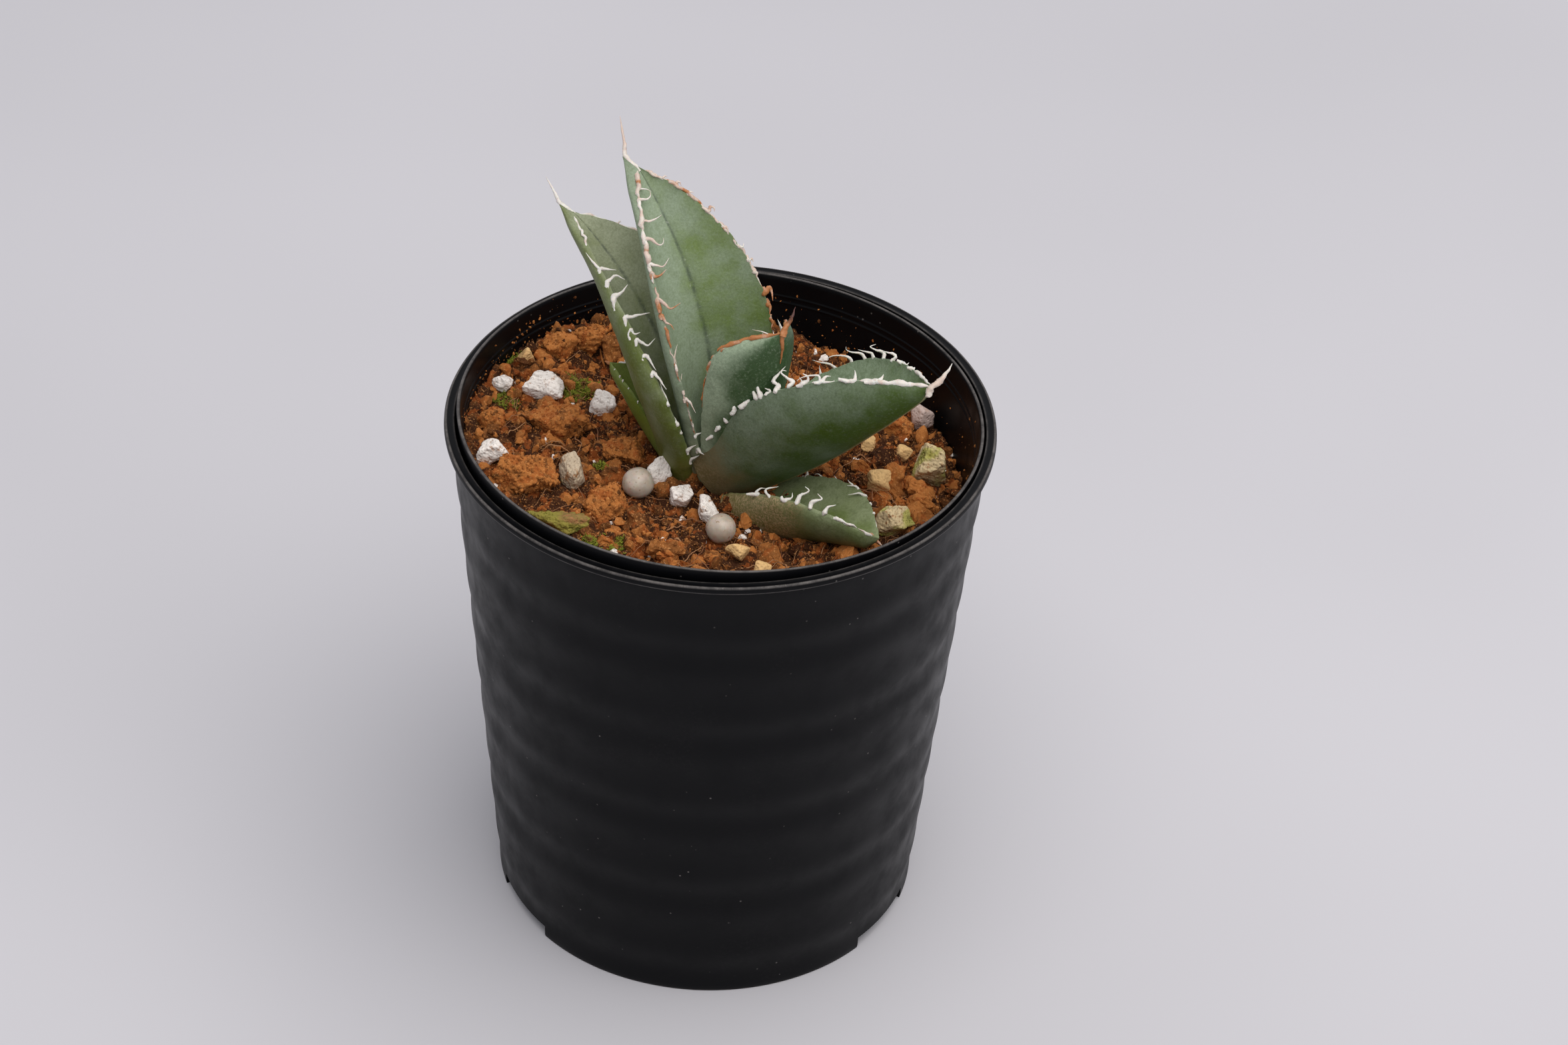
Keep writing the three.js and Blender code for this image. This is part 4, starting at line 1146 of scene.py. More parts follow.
def leaf_blade(name, leaf, seed):
    """Closed fine blade with soft waves, a creased rib and an uneven margin."""
    stations, across = BLADE["stations"], BLADE["across"]
    t = np.linspace(0, 1, stations + 1)
    v = np.sin(np.linspace(-np.pi / 2, np.pi / 2, across + 1))
    v[across // 2] = 0
    points, outward, facing = blade_surface(leaf, t, v)
    depth = blade_depth(leaf, t, v)[..., None]
    wave = 0.22 * rough(points + 70 * seed, 7.5, 3, seed)[..., None]
    margin = 0.22 * rough(points + 40 * seed, 1.6, 2, seed)[..., None] * (np.abs(v)[None, :, None] ** 8)
    crease = 0.28 * np.exp(-((v / 0.05) ** 2))[None, :, None] * np.clip(1.2 - t, 0, 1)[:, None, None]
    body = (1 - np.abs(v) ** 4)[None, :, None]
    front = points + facing * (wave * body - crease) + outward * margin
    apart = (tip_shift(leaf, "keel_end", t) - tip_shift(leaf, "channel_end", t))[:, None]
    apart = apart * np.clip(1 - v, 0, 1)[None, :, None]
    behind = points - facing * (depth - 0.5 * wave * body) + outward * margin + apart
    rings = np.concatenate([front, behind[:, ::-1]], axis=1)
    count = 2 * (across + 1)
    faces = ring_faces(stations, count)
    last = stations * count
    for j in range(across):
        k = count - 1 - j
        faces.append((j, k, k - 1, j + 1))
        faces.append((last + j, last + j + 1, last + k - 1, last + k))
    ring_v = np.concatenate([v, v[::-1]])
    side = np.concatenate([np.zeros(across + 1), np.ones(across + 1)])
    attributes = {"along": np.repeat(t, count), "across": np.tile(ring_v, stations + 1),
                  "back": np.tile(side, stations + 1)}
    blade = new_object(f"{name}_blade", rings.reshape(-1, 3), faces, attributes=attributes)
    face_outwards(blade)
    return blade


# Samples along a margin or a rib, and the middle of the blade as a place across it.
FINE, MIDDLE = 201, np.array([0.0])


def margin_frames(leaf, side):
    """Line along one margin with its directions, sampled evenly in t."""
    t = np.linspace(0, 1, FINE)
    points, outward, facing = (a[:, 0] for a in blade_surface(leaf, t, np.array([float(side)])))
    _, along, _, _ = rib_frames(leaf, t)
    middle = points - facing * BLADE["edge"] / 2
    return t, middle, outward, along, facing


def at_share(t, values, share):
    return np.stack([np.interp(share, t, values[:, k]) for k in range(3)], -1)


def smooth_line(knots, count):
    """Smooth line through the knots, with the share of its length at each point."""
    knots = np.asarray(knots, float)
    padded = np.concatenate([[2 * knots[0] - knots[1]], knots, [2 * knots[-1] - knots[-2]]])
    s = np.linspace(0, len(knots) - 1, count)
    i = np.minimum(s.astype(int), len(knots) - 2)
    f = (s - i)[:, None]
    a, b, c, d = (padded[i + k] for k in range(4))
    line = 0.5 * (2 * b + (c - a) * f + (2 * a - 5 * b + 4 * c - d) * f**2
                  + (3 * b - a - 3 * c + d) * f**3)
    run = np.concatenate([[0], np.cumsum(np.linalg.norm(np.diff(line, axis=0), axis=1))])
    return line, run / run[-1]


def drawn_tooth(margin, share, width, tint, *knots):
    """Tooth whose knots are given in millimetres right and up, as seen from the front.

    One knot is (0, 0), where it leaves the margin: the knots before it are its root.
    """
    knots = np.array(knots, float)
    junction = int(np.argmin(np.abs(knots).sum(1)))
    base = at_share(margin[0], margin[1], share)
    places = base + knots[:, :1] * SEEN_RIGHT + knots[:, 1:] * SEEN_UP
    line, run = smooth_line(places, 4 * len(knots) + 4)
    turn = np.interp(junction, np.linspace(0, len(knots) - 1, len(run)), run) if junction else 0
    root = 0.55 + 0.45 * np.sin(np.pi / 2 * np.clip(run / max(turn, 1e-6), 0, 1))
    hook = 0.1 + 0.9 * np.clip((1 - run) / max(1 - turn, 1e-6), 0, 1) ** 1.1
    swell = np.where(run < turn, root, hook)
    return line, width * swell, tint + 0.12 * np.sin(9 * run + 20 * share)


def leant(line, share, reach, lift):
    """Lines of teeth nearer the root than reach, bent forwards over the leaf behind them."""
    forward = lift * np.clip(8 * (reach - share), 0, 1) * np.linspace(0.35, 1, len(line)) ** 0.7
    return line + forward[:, None] * SEEN_NEAR


def ruled_tooth(margin, share, length, lean, rng):
    """Hooked tooth on a margin that the front doesn't show, in the margin's own directions."""
    base, out, ahead, face = (at_share(margin[0], a, share) for a in margin[1:])
    turn = math.radians(lean)
    first = out * math.cos(turn) + ahead * math.sin(turn)
    curl = rng.uniform(-0.7, 0.9)
    knots = [base - ahead * length * 0.4, base, base + first * length * 0.5 + face * length * 0.15,
             base + first * length * 0.85 + ahead * length * curl * 0.3 + face * length * 0.35]
    line, run = smooth_line(knots, 14)
    swell = np.where(run < 0.3, 0.6 + 1.3 * run, 0.1 + 0.9 * np.clip((1 - run) / 0.7, 0, 1) ** 1.1)
    return line, rng.uniform(0.24, 0.4) * swell, rng.uniform(0, 0.25) + 0 * run


def ridge_line(leaf, margin, seed, start, end, width, tint, gnarl):
    """Corky ridge along part of a margin, thicker and thinner by turns."""
    t, middle, outward, _, facing = margin
    count = max(8, int((end - start) * leaf["length"] / 0.35))
    share = np.linspace(start, end, count)
    line = at_share(t, middle, share)
    bump = rough(line + 13 * seed, 1.5, 3, seed)
    line = line + at_share(t, outward, share) * (gnarl * bump)[:, None]
    line = line + at_share(t, facing, share) * (gnarl * rough(line + 29, 0.9, 2, seed))[:, None]
    fade = np.clip(np.minimum(share - start, end - share) * leaf["length"] / 1.5 + 0.25, 0, 1)
    place = share * leaf["length"] / 2.6 + 0.5 * noise(line, 3, seed)
    pinch = np.exp(-((place - np.round(place)) / 0.13) ** 2)
    swell = np.clip(0.95 + 0.45 * bump - 0.3 * pinch, 0.55, 1.6)
    return line, width * swell * fade, tint + 0.3 * bump + 0.35 * pinch


def spine_line(leaf, widths, tints, *knots):
    """Terminal spine, its knots in millimetres right and up of the blade's tip as seen in front."""
    t = np.linspace(0, 1, 101)
    at, _, _, up = rib_frames(leaf, t)
    knots = np.array(knots, float)
    tip = at[-1] - up[-1] * BLADE["edge"] / 2 + tip_shift(leaf, "keel_end", t)[-1]
    places = tip + knots[:, :1] * SEEN_RIGHT + knots[:, 1:] * SEEN_UP
    line, run = smooth_line(places, 26)
    even = np.linspace(0, 1, len(widths))
    return line, np.interp(run, even, widths), np.interp(run, np.linspace(0, 1, len(tints)), tints)


def keel_line(leaf, start, width, tint):
    """Horn running down the back of the rib from the tip."""
    t = np.linspace(0, 1, FINE)
    points, _, facing = (a[:, 0] for a in blade_surface(leaf, t, MIDDLE))
    back = points - facing * blade_depth(leaf, t, MIDDLE)
    count = 24
    share = np.linspace(1.0, start, count)
    return at_share(t, back, share), width * np.linspace(1, 0.15, count), tint


# Colours of each leaf: shaded_back_tone darkens a leaf's back with painted shade, and slant, tipward and
# haze spread the bloom partly as painted light and shade.
LEAF_LOOKS = {
    "leaf_center": dict(flesh=(0.05, 0.1, 0.035), bloom=(0.38, 0.47, 0.32), base=(0.36, 0.42, 0.22),
                        scurf=-1, edging=0.3, slant=-1.3, haze=-0.74),
    "leaf_tall_back": dict(flesh=(0.15, 0.215, 0.055), bloom=(0.28, 0.345, 0.24), base=(0.3, 0.29, 0.16),
                           scurf=0.1, slant=0.55, haze=0.12),
    "leaf_left": dict(flesh=(0.13, 0.165, 0.035), bloom=(0.32, 0.35, 0.23), base=(0.15, 0.16, 0.012),
                      scurf=0.05, edging=0.3, slant=-0.35, haze=0.2),
    "leaf_right_large": dict(flesh=(0.09, 0.16, 0.014), bloom=(0.34, 0.43, 0.29), base=(0.34, 0.25, 0.1),
                             scurf=0.12, shaded_back_tone=0.52, keel=0.8, blotches=0.4, tipward=-0.5, haze=0.48),
    "leaf_front_low": dict(flesh=(0.11, 0.15, 0.035), bloom=(0.24, 0.28, 0.15), base=(0.15, 0.14, 0.03),
                           scurf=0.58, shaded_back_tone=0.95, blotches=0.5),
    "leaf_back_low": dict(flesh=(0.13, 0.18, 0.015), bloom=(0.2, 0.25, 0.06), base=(0.13, 0.16, 0.01),
                          scurf=-1),
}
SPINES = {
    "leaf_center": ((0.6, 0.55, 0.36, 0.2, 0.04), (0.95, 1.1, 1.4, 1.6, 1.7),
                    (0, -0.5), (0.3, 0.6), (0.9, 1.6), (1.4, 2.6), (1.7, 3.4), (2.0, 4.2)),
    "leaf_tall_back": ((0.3, 0.34, 0.4, 0.38, 0.28, 0.2, 0.12, 0.04), (0.3, 0.25, 0.3, 0.5, 0.55, 0.4),
                       (2.6, -2.4), (1.6, -1.35), (0.5, -0.45), (0.1, 0.4), (0.1, 1.8), (-0.2, 3.9),
                        (-0.6, 6.35)),
    "leaf_left": ((0.26, 0.32, 0.36, 0.32, 0.22, 0.14, 0.04), (0.1, 0.15, 0.1, 0.3),
                  (2.5, -1.8), (1.4, -1.0), (0.4, -0.3), (-0.3, 0.5), (-0.8, 1.6), (-1.4, 2.8), (-2.2, 4.2)),
    "leaf_right_large": ((0.4, 0.62, 0.5, 0.34, 0.2, 0.05), (0.3, 0.5, 0.5, 0.3, 0.12),
                         (-0.5, -1.4), (0.1, -0.1), (1.1, 0.7), (2.2, 1.9), (3.0, 3.0), (3.4, 3.8)),
    "leaf_front_low": ((0.5, 0.42, 0.2, 0.04), (0.75, 0.85, 0.6),
                       (-1.5, 0.8), (-0.2, -0.1), (0.3, -0.6), (0.7, -1.1)),
    "leaf_back_low": ((0.32, 0.25, 0.05), (1.0, 1.2), (0.2, -0.2), (-0.3, 0.1), (-0.8, 0.3)),
}

# For each leaf and side (-1 left, 1 right): teeth (share of length, width, tint, knots) and
# ridges (from, to, width, tint, gnarl). The tint runs from 0 white over 0.5 tan to 1 rust.
TEETH = {
    ("leaf_tall_back", -1): [
        (0.94, 0.2, 0.25, (0, -0.5), (0, 0), (1.1, 0.05), (2.1, -0.35)),
        (0.91, 0.28, 0.3, (0, -0.8), (0, 0), (1.3, 0.05), (1.8, 0.6), (1.75, 1.4)),
        (0.85, 0.3, 0.35, (0.1, -0.9), (0, 0), (1.2, 0), (2.2, 0.35), (3.2, 1.0)),
        (0.8, 0.36, 0.45, (0.2, -1), (0, 0), (1.0, 0.15), (2.2, -0.75), (2.9, -0.5), (3.0, 0.3)),
        (0.74, 0.3, 0.4, (0.2, -0.9), (0, 0), (1.1, -0.3), (2.2, -0.4), (3.1, 0.9)),
        (0.72, 0.36, 0.75, (0.1, -1.2), (0, 0), (0.5, -0.8), (1.4, -0.6), (2.4, 0.35)),
        (0.65, 0.36, 0.7, (0.3, -2.2), (0, 0), (1.3, -1.0), (2.1, -1.5), (3.6, -0.6)),
        (0.61, 0.34, 0.75, (0, -0.8), (0, 0), (0.6, -1.2), (1.4, -1.6), (2.0, -2.4)),
        (0.47, 0.26, 0.5, (0.3, -0.9), (0, 0), (-0.1, 0.9), (0, 2.2), (0.35, 3.4)),
        (0.39, 0.26, 0.45, (0.1, -0.5), (0, 0), (-0.4, 1.6), (-0.2, 3.0)),
        (0.37, 0.28, 0.45, (-0.1, -0.7), (0, 0), (0.5, -0.3), (1.0, -1.0), (1.7, -2.3)),
        (0.28, 0.26, 0.35, (0.1, -0.4), (0, 0), (-0.5, 1.4), (-0.9, 2.2), (-0.7, 2.6)),
        (0.24, 0.28, 0.12, (0, -0.5), (0, 0), (0.3, 0.1), (1.1, 0.4)),
    ],
    ("leaf_tall_back", 1): [
        (0.93, 0.26, 0.45, (-0.4, 0.1), (0, 0), (0.3, 0.4), (0.7, 0.2)),
        (0.89, 0.3, 0.5, (-0.5, 0.3), (0, 0), (0.1, 0.6), (0.6, 0.5), (0.8, 0)),
        (0.85, 0.26, 0.4, (-0.5, 0.3), (0, 0), (0.2, 0.5), (0.7, 0.3)),
        (0.79, 0.38, 0.6, (-0.6, 0.4), (0, 0), (0.3, 0.7), (0.9, 0.5), (1.0, -0.1)),
        (0.74, 0.3, 0.5, (-0.5, 0.6), (0, 0), (0.5, -0.1), (0.9, -0.9)),
        (0.68, 0.28, 0.15, (-1.0, 1.3), (-0.4, 0.3), (0, 0), (0.6, 0), (0.7, 0.6)),
        (0.64, 0.34, 0.4, (-0.3, 0.9), (0, 0), (0.5, 0.3), (0.8, -0.2)),
        (0.61, 0.34, 0.5, (-0.4, 0.9), (0, 0), (0.4, -0.3), (0.3, -1.0)),
        (0.55, 0.5, 0.9, (-0.2, 1.0), (0, 0), (0.8, 0.9), (1.2, 0.2), (1.4, -1.2)),
        (0.52, 0.42, 0.95, (-0.2, 0.9), (0, 0), (0.4, -0.6), (0.3, -1.6)),
        (0.48, 0.4, 0.85, (0, 0.8), (0, 0), (0.3, -0.5), (0.1, -1.4)),
    ],
    ("leaf_left", -1): [
        (0.795, 0.34, 0.05, (0.1, -1.3), (0, 0), (0.6, 0.15), (1.3, 0.1), (2.6, -0.05)),
        (0.8, 0.28, 0.0, (0.1, -0.4), (0, 0), (-0.7, 0.7), (-1.4, 1.5), (-2.1, 2.5)),
        (0.75, 0.38, 0.0, (0.3, -1.4), (0, 0), (0.6, 0.9), (1.5, 1.3), (2.8, 0.7)),
        (0.71, 0.46, 0.05, (0.2, -2.3), (0.1, -1.2), (0, 0), (0.7, 0.3), (1.4, 0.8), (2.2, 1.9)),
        (0.645, 0.42, 0.05, (0.2, -1.4), (0, 0), (0.7, 0.1), (2.0, 0.4), (4.0, 0.8)),
        (0.61, 0.36, 0.0, (-0.1, -1.7), (-0.2, -0.8), (0, 0), (0.3, -0.6), (0.7, -0.75), (1.5, -0.5)),
        (0.577, 0.36, 0.05, (0, -1.0), (0, 0), (0.8, -0.3), (1.6, -0.8), (2.1, -0.7), (3.0, 0.3)),
        (0.53, 0.36, 0.0, (-0.2, -0.8), (0, 0), (0.5, -0.1), (1.2, -1.2), (1.9, -2.3)),
        (0.478, 0.38, 0.0, (-0.1, -0.7), (0, 0), (0.5, -0.2), (1.3, -1.3), (2.2, -2.6)),
        (0.378, 0.34, 0.0, (0.05, -0.4), (0, 0), (-0.4, 1.2), (-0.8, 2.2), (-1.2, 3.3)),
        (0.307, 0.32, 0.05, (0.1, -0.4), (0, 0), (-0.4, 0.8), (-0.8, 1.4), (-1.0, 2.1)),
        (0.27, 0.25, 0.1, (0, -0.2), (0, 0), (-0.1, 0.6)),
    ],
    ("leaf_left", 1): [
        (0.8, 0.14, 0.2, (0.2, -0.2), (0, 0), (-0.5, 0.6), (-1.0, 1.2)),
        (0.87, 0.18, 0.3, (-0.4, 0.2), (0, 0), (0.3, 0.4), (0.5, 0.1)),
    ],
    ("leaf_center", 1): [
        (0.985, 0.14, 0.35, (0.3, -0.1), (0, 0), (-1.1, 0.5), (-2.8, 0.9)),
        (0.99, 0.1, 0.1, (0, -0.1), (0, 0), (-0.1, 0.7)),
        (0.975, 0.09, 0.1, (0, -0.1), (0, 0), (-0.1, 0.6)),
    ],
    ("leaf_right_large", 1): [
        (0.16, 0.32, 0.1, (-1.0, -0.7), (0, 0), (0.4, 0.5)),
        (0.22, 0.36, 0.1, (-0.7, -0.7), (0, 0), (0.6, 0.8)),
        (0.27, 0.32, 0.08, (0.3, -0.4), (0, 0), (-0.2, 0.9), (0.1, 1.8), (0.7, 1.9), (0.7, 1.4)),
        (0.335, 0.44, 0.08, (-0.6, -0.3), (0, 0), (0.1, 1.3), (0.3, 2.4), (-0.5, 2.2)),
        (0.39, 0.52, 0.05, (-0.6, -0.4), (0, 0), (0.9, 0.9), (0.3, 1.9), (-0.8, 2.3), (-1.2, 1.9)),
        (0.465, 0.42, 0.03, (0, -0.3), (0, 0), (-0.5, 1.6), (-0.3, 2.2), (0.2, 2.8)),
        (0.49, 0.46, 0.03, (0.2, -0.4), (0, 0), (-0.5, 1.2), (-0.4, 2.0), (0, 2.9)),
        (0.52, 0.32, 0.1, (-0.4, -0.2), (0, 0), (0.4, 0.5), (-0.4, 0.9)),
        (0.56, 0.52, 0.05, (-0.3, -0.4), (0, 0), (0.4, 0.8), (-0.4, 1.5), (0.6, 2.8), (1.5, 3.8)),
        (0.615, 0.42, 0.05, (0, -0.3), (0, 0), (0.6, 0.8), (-0.4, 1.5), (-1.2, 2.2), (-1.0, 2.6),
         (-0.4, 2.5)),
        (0.665, 0.48, 0.08, (-0.9, -0.3), (0, 0), (0.8, 0.5), (0.8, 1.2), (0.1, 1.7)),
        (0.725, 0.22, 0.0, (0.1, -0.2), (0, 0), (-0.2, 0.9), (-1.5, 1.0), (-2.8, 0.7), (-3.6, 0.2)),
        (0.73, 0.42, 0.1, (-1.1, -0.2), (0, 0), (0.6, 0.7), (1.5, 0.9)),
        (0.825, 0.4, 0.15, (-2.4, 0.3), (-1.0, -0.05), (0, 0), (0.3, 0.6), (0.2, 1.7)),
        (0.89, 0.46, 0.15, (-2.4, -0.1), (-1, 0), (0, 0), (0.3, 0.4), (0.7, 1.2)),
    ],
    ("leaf_right_large", -1): [
        (0.445, 0.24, 0.02, (0.2, -0.3), (0, 0), (-0.8, 0.6), (-2.0, 0.8), (-3.7, 1.3)),
        (0.53, 0.26, 0.0, (0.2, -0.2), (0, 0), (-0.3, 0.6), (-1.4, 1.0), (-3.0, 1.0), (-3.9, 0.6),
         (-4.0, 0.2)),
        (0.6, 0.3, 0.0, (0.2, -0.2), (0, 0), (-0.6, 0.8), (-2.1, 1.1), (-3.0, 1.5), (-3.1, 2.0)),
        (0.645, 0.28, 0.0, (0.1, -0.2), (0, 0), (-0.3, 0.8), (-1.4, 1.1), (-2.5, 1.4)),
        (0.7, 0.34, 0.02, (0, -0.3), (0, 0), (0, 0.9), (-1.2, 1.4), (-2.1, 1.9), (-1.2, 2.3)),
        (0.755, 0.34, 0.02, (-0.4, -0.1), (0, 0), (0.4, 0.6), (-0.2, 1.1), (-1.1, 1.3), (-1.9, 1.6)),
        (0.81, 0.36, 0.1, (-0.8, 0.5), (0, 0), (0.7, -0.2), (1.1, 0.1)),
        (0.875, 0.36, 0.1, (-0.8, 0.3), (0, 0), (0.4, 0.3)),
    ],
    ("leaf_front_low", 1): [
        (0.33, 0.3, 0.02, (-1.9, 0.1), (-0.9, 0.1), (0, 0), (-0.3, 0.4), (0.4, 1.0), (1.3, 1.0)),
        (0.42, 0.34, 0.02, (0.1, -0.3), (0, 0), (-0.7, 0.8), (-0.2, 1.3), (1.4, 1.6)),
        (0.53, 0.38, 0.05, (-0.7, 0.6), (-0.5, 0), (0, 0), (0.9, 0.4), (1.1, 1.2)),
        (0.6, 0.44, 0.0, (-0.1, -0.3), (0, 0), (0.6, 1.3), (1.9, 2.0), (1.3, 2.7)),
        (0.675, 0.46, 0.0, (-0.1, -0.2), (0, 0), (0.4, 1.0), (1.8, 1.5), (1.2, 2.3)),
        (0.75, 0.44, 0.0, (0, -0.2), (0, 0), (0.5, 1.0), (1.8, 1.4)),
        (0.81, 0.38, 0.02, (-0.6, 0.2), (0, 0), (1.1, -0.5), (2.2, -1.0)),
    ],
    ("leaf_front_low", -1): [
        (0.42, 0.15, 0.05, (0.2, -0.1), (0, 0), (-0.5, 0.5), (-1.2, 0.5)),
        (0.52, 0.15, 0.1, (0.1, -0.2), (0, 0), (-0.3, 0.6)),
        (0.64, 0.2, 0.05, (0.1, -0.3), (0, 0), (-0.5, 0.5), (-0.8, 0.9)),
        (0.69, 0.26, 0.02, (0.2, -0.2), (0, 0), (-0.6, 0.5), (-1.8, 0.6)),
        (0.76, 0.28, 0.02, (0.1, -0.2), (0, 0), (-1.1, 0.5), (-2.8, 0.3)),
        (0.82, 0.3, 0.05, (-0.1, 0.4), (0, 0), (0.1, -0.5)),
        (0.875, 0.28, 0.05, (0, 0.3), (0, 0), (0.05, -0.4)),
    ],
    ("leaf_back_low", -1): [
        (share, 0.17, 0.1, (0.1, 0.2), (0, 0), (-0.05, -0.35))
        for share in (0.95, 0.9, 0.87, 0.81, 0.71)
    ],
    ("leaf_back_low", 1): [(0.94, 0.22, 0.1, (-0.7, 0), (0, 0), (0.7, 0))],
}
RIDGES = {
    ("leaf_tall_back", -1): [(0.69, 1.0, 0.36, 0.32, 0.25), (0.52, 0.6, 0.32, 0.85, 0.2),
                             (0.61, 0.68, 0.34, 0.8, 0.2),
                             (0.41, 0.52, 0.15, 0.6, 0.2), (0.2, 0.39, 0.13, 0.45, 0.2)],
    ("leaf_tall_back", 1): [(0.57, 0.965, 0.24, 0.5, 0.35), (0.86, 0.985, 0.28, 0.5, 0.3)],
    ("leaf_left", -1): [(0.85, 0.99, 0.25, 0.05, 0.4)],
    ("leaf_left", 1): [(0.76, 0.97, 0.17, 0.2, 0.15), (0.9, 0.985, 0.22, 0.1, 0.1)],
    ("leaf_center", 1): [(0.7, 0.9, 0.3, 0.8, 0.4), (0.86, 0.97, 0.46, 0.85, 0.3),
                         (0.94, 1.0, 0.6, 0.9, 0.2), (0.5, 0.72, 0.12, 0.7, 0.2)],
    ("leaf_center", -1): [(0.75, 1.0, 0.2, 0.8, 0.2)],
    ("leaf_right_large", 1): [(0.84, 1.0, 0.45, 0.15, 0.15), (0.7, 0.77, 0.3, 0.1, 0.2)],
    ("leaf_right_large", -1): [(0.78, 0.86, 0.36, 0.1, 0.25), (0.88, 1.0, 0.3, 0.12, 0.15)],
    ("leaf_front_low", 1): [(0.8, 0.9, 0.3, 0.02, 0.2), (0.91, 0.99, 0.24, 0.05, 0.15)],
    ("leaf_front_low", -1): [(0.9, 0.99, 0.16, 0.1, 0.2)],
}
# Horn down the back of the rib: from the tip to which share of the length, width, tint.
KEELS = {"leaf_center": (0.86, 0.45, 0.95)}
# Up to which share of a margin the teeth lean forwards, and by how many millimetres.
LEANT = {("leaf_right_large", 1): (0.46, 1.7)}
# Margins that the front hardly shows get teeth by rule: how many, from where to where.
RULED_TEETH = {
    ("leaf_tall_back", 1): (4, 0.14, 0.42), ("leaf_left", 1): (9, 0.14, 0.74),
    ("leaf_center", -1): (5, 0.25, 0.8), ("leaf_back_low", 1): (5, 0.25, 0.85),
    ("leaf_right_large", -1): (4, 0.14, 0.4), ("leaf_front_low", -1): (2, 0.16, 0.34),
    ("leaf_tall_back", -1): (2, 0.1, 0.2), ("leaf_left", -1): (2, 0.12, 0.22),
}


def leaf_horn(name, leaf, seed):
    """All horn of one leaf as guide lines: teeth, ridges, spine and keel."""
    rng = np.random.default_rng(60 + seed)
    lines = [spine_line(leaf, *SPINES[name])]
    if name in KEELS:
        lines.append(keel_line(leaf, *KEELS[name]))
    for side in (-1, 1):
        margin = margin_frames(leaf, side)
        for row in TEETH.get((name, side), ()):
            line, *rest = drawn_tooth(margin, *row)
            lines.append((leant(line, row[0], *LEANT.get((name, side), (0, 0))), *rest))
        for k, row in enumerate(RIDGES.get((name, side), ())):
            lines.append(ridge_line(leaf, margin, seed + 7 * k + side, *row))
        many, start, end = RULED_TEETH.get((name, side), (0, 0, 0))
        for k in range(many):
            share = start + (end - start) * (k + rng.uniform(0.25, 0.75)) / many
            lines.append(ruled_tooth(margin, share, rng.uniform(1.2, 2.2), rng.uniform(-20, 50), rng))
    return lines_object(f"{name}_horn", lines)


# ------------------------------------------------------------------ operators

def settings_of(context):
    return context.scene.agave


class AGAVE_OT_outer_pot(bpy.types.Operator):
    """Build the outer pot: rippled wall, rounded lip, notched foot"""

    bl_idname = "agave.outer_pot"
    bl_label = "Outer Pot"

    def execute(self, context):
        material = pot_plastic(settings_of(context).pot, "pot_plastic", 0.02)
        cutter = pot_cutter("outer_cutter", OUTER["floor_top"], True)
        pot = turned_pot("outer_pot_body", outer_profile(), cutter, material, wobble=0.00012)
        finish_piece(pot, material, ["outer_pot"], sharp=50)
        return {"FINISHED"}


class AGAVE_OT_inner_pot(bpy.types.Operator):
    """Build the inner pot: thin tilted wall with moulded rings inside its rim"""

    bl_idname = "agave.inner_pot"
    bl_label = "Inner Pot"

    def execute(self, context):
        material = pot_plastic(settings_of(context).pot, "inner_pot_plastic", 0.004)
        cutter = pot_cutter("inner_cutter", 0, False)
        pot = turned_pot("inner_pot_body", inner_profile(), cutter, material)
        place = inner_place()
        place.translation *= MM
        pot.data.transform(place)
        finish_piece(pot, material, ["inner_pot"], sharp=50)
        x, y, z = mesh_points(pot).T
        inside = np.hypot(x, y) < inner_radius(INNER["height"] - INNER["rim_centre_height"] + z) - 0.3
        low = np.clip((DUST["top"] - z) / DUST["fade"], 0, 1) ** 1.5
        left = np.clip(0.4 - x / 60, 0.06, 1)
        cover = inside * (z > DUST["bottom"]) * low * left
        earth = mix_earth(settings_of(context).mix, "dusting", 0.25)
        strew("inner_pot_dust", pot, cover, strewn_tree(), "potting_mix", earth, density=3.2e6,
              radius=0.0003, smallest=0.00006, stretch=1.3, flatness=0.7, facets=1, seed=12)
        return {"FINISHED"}


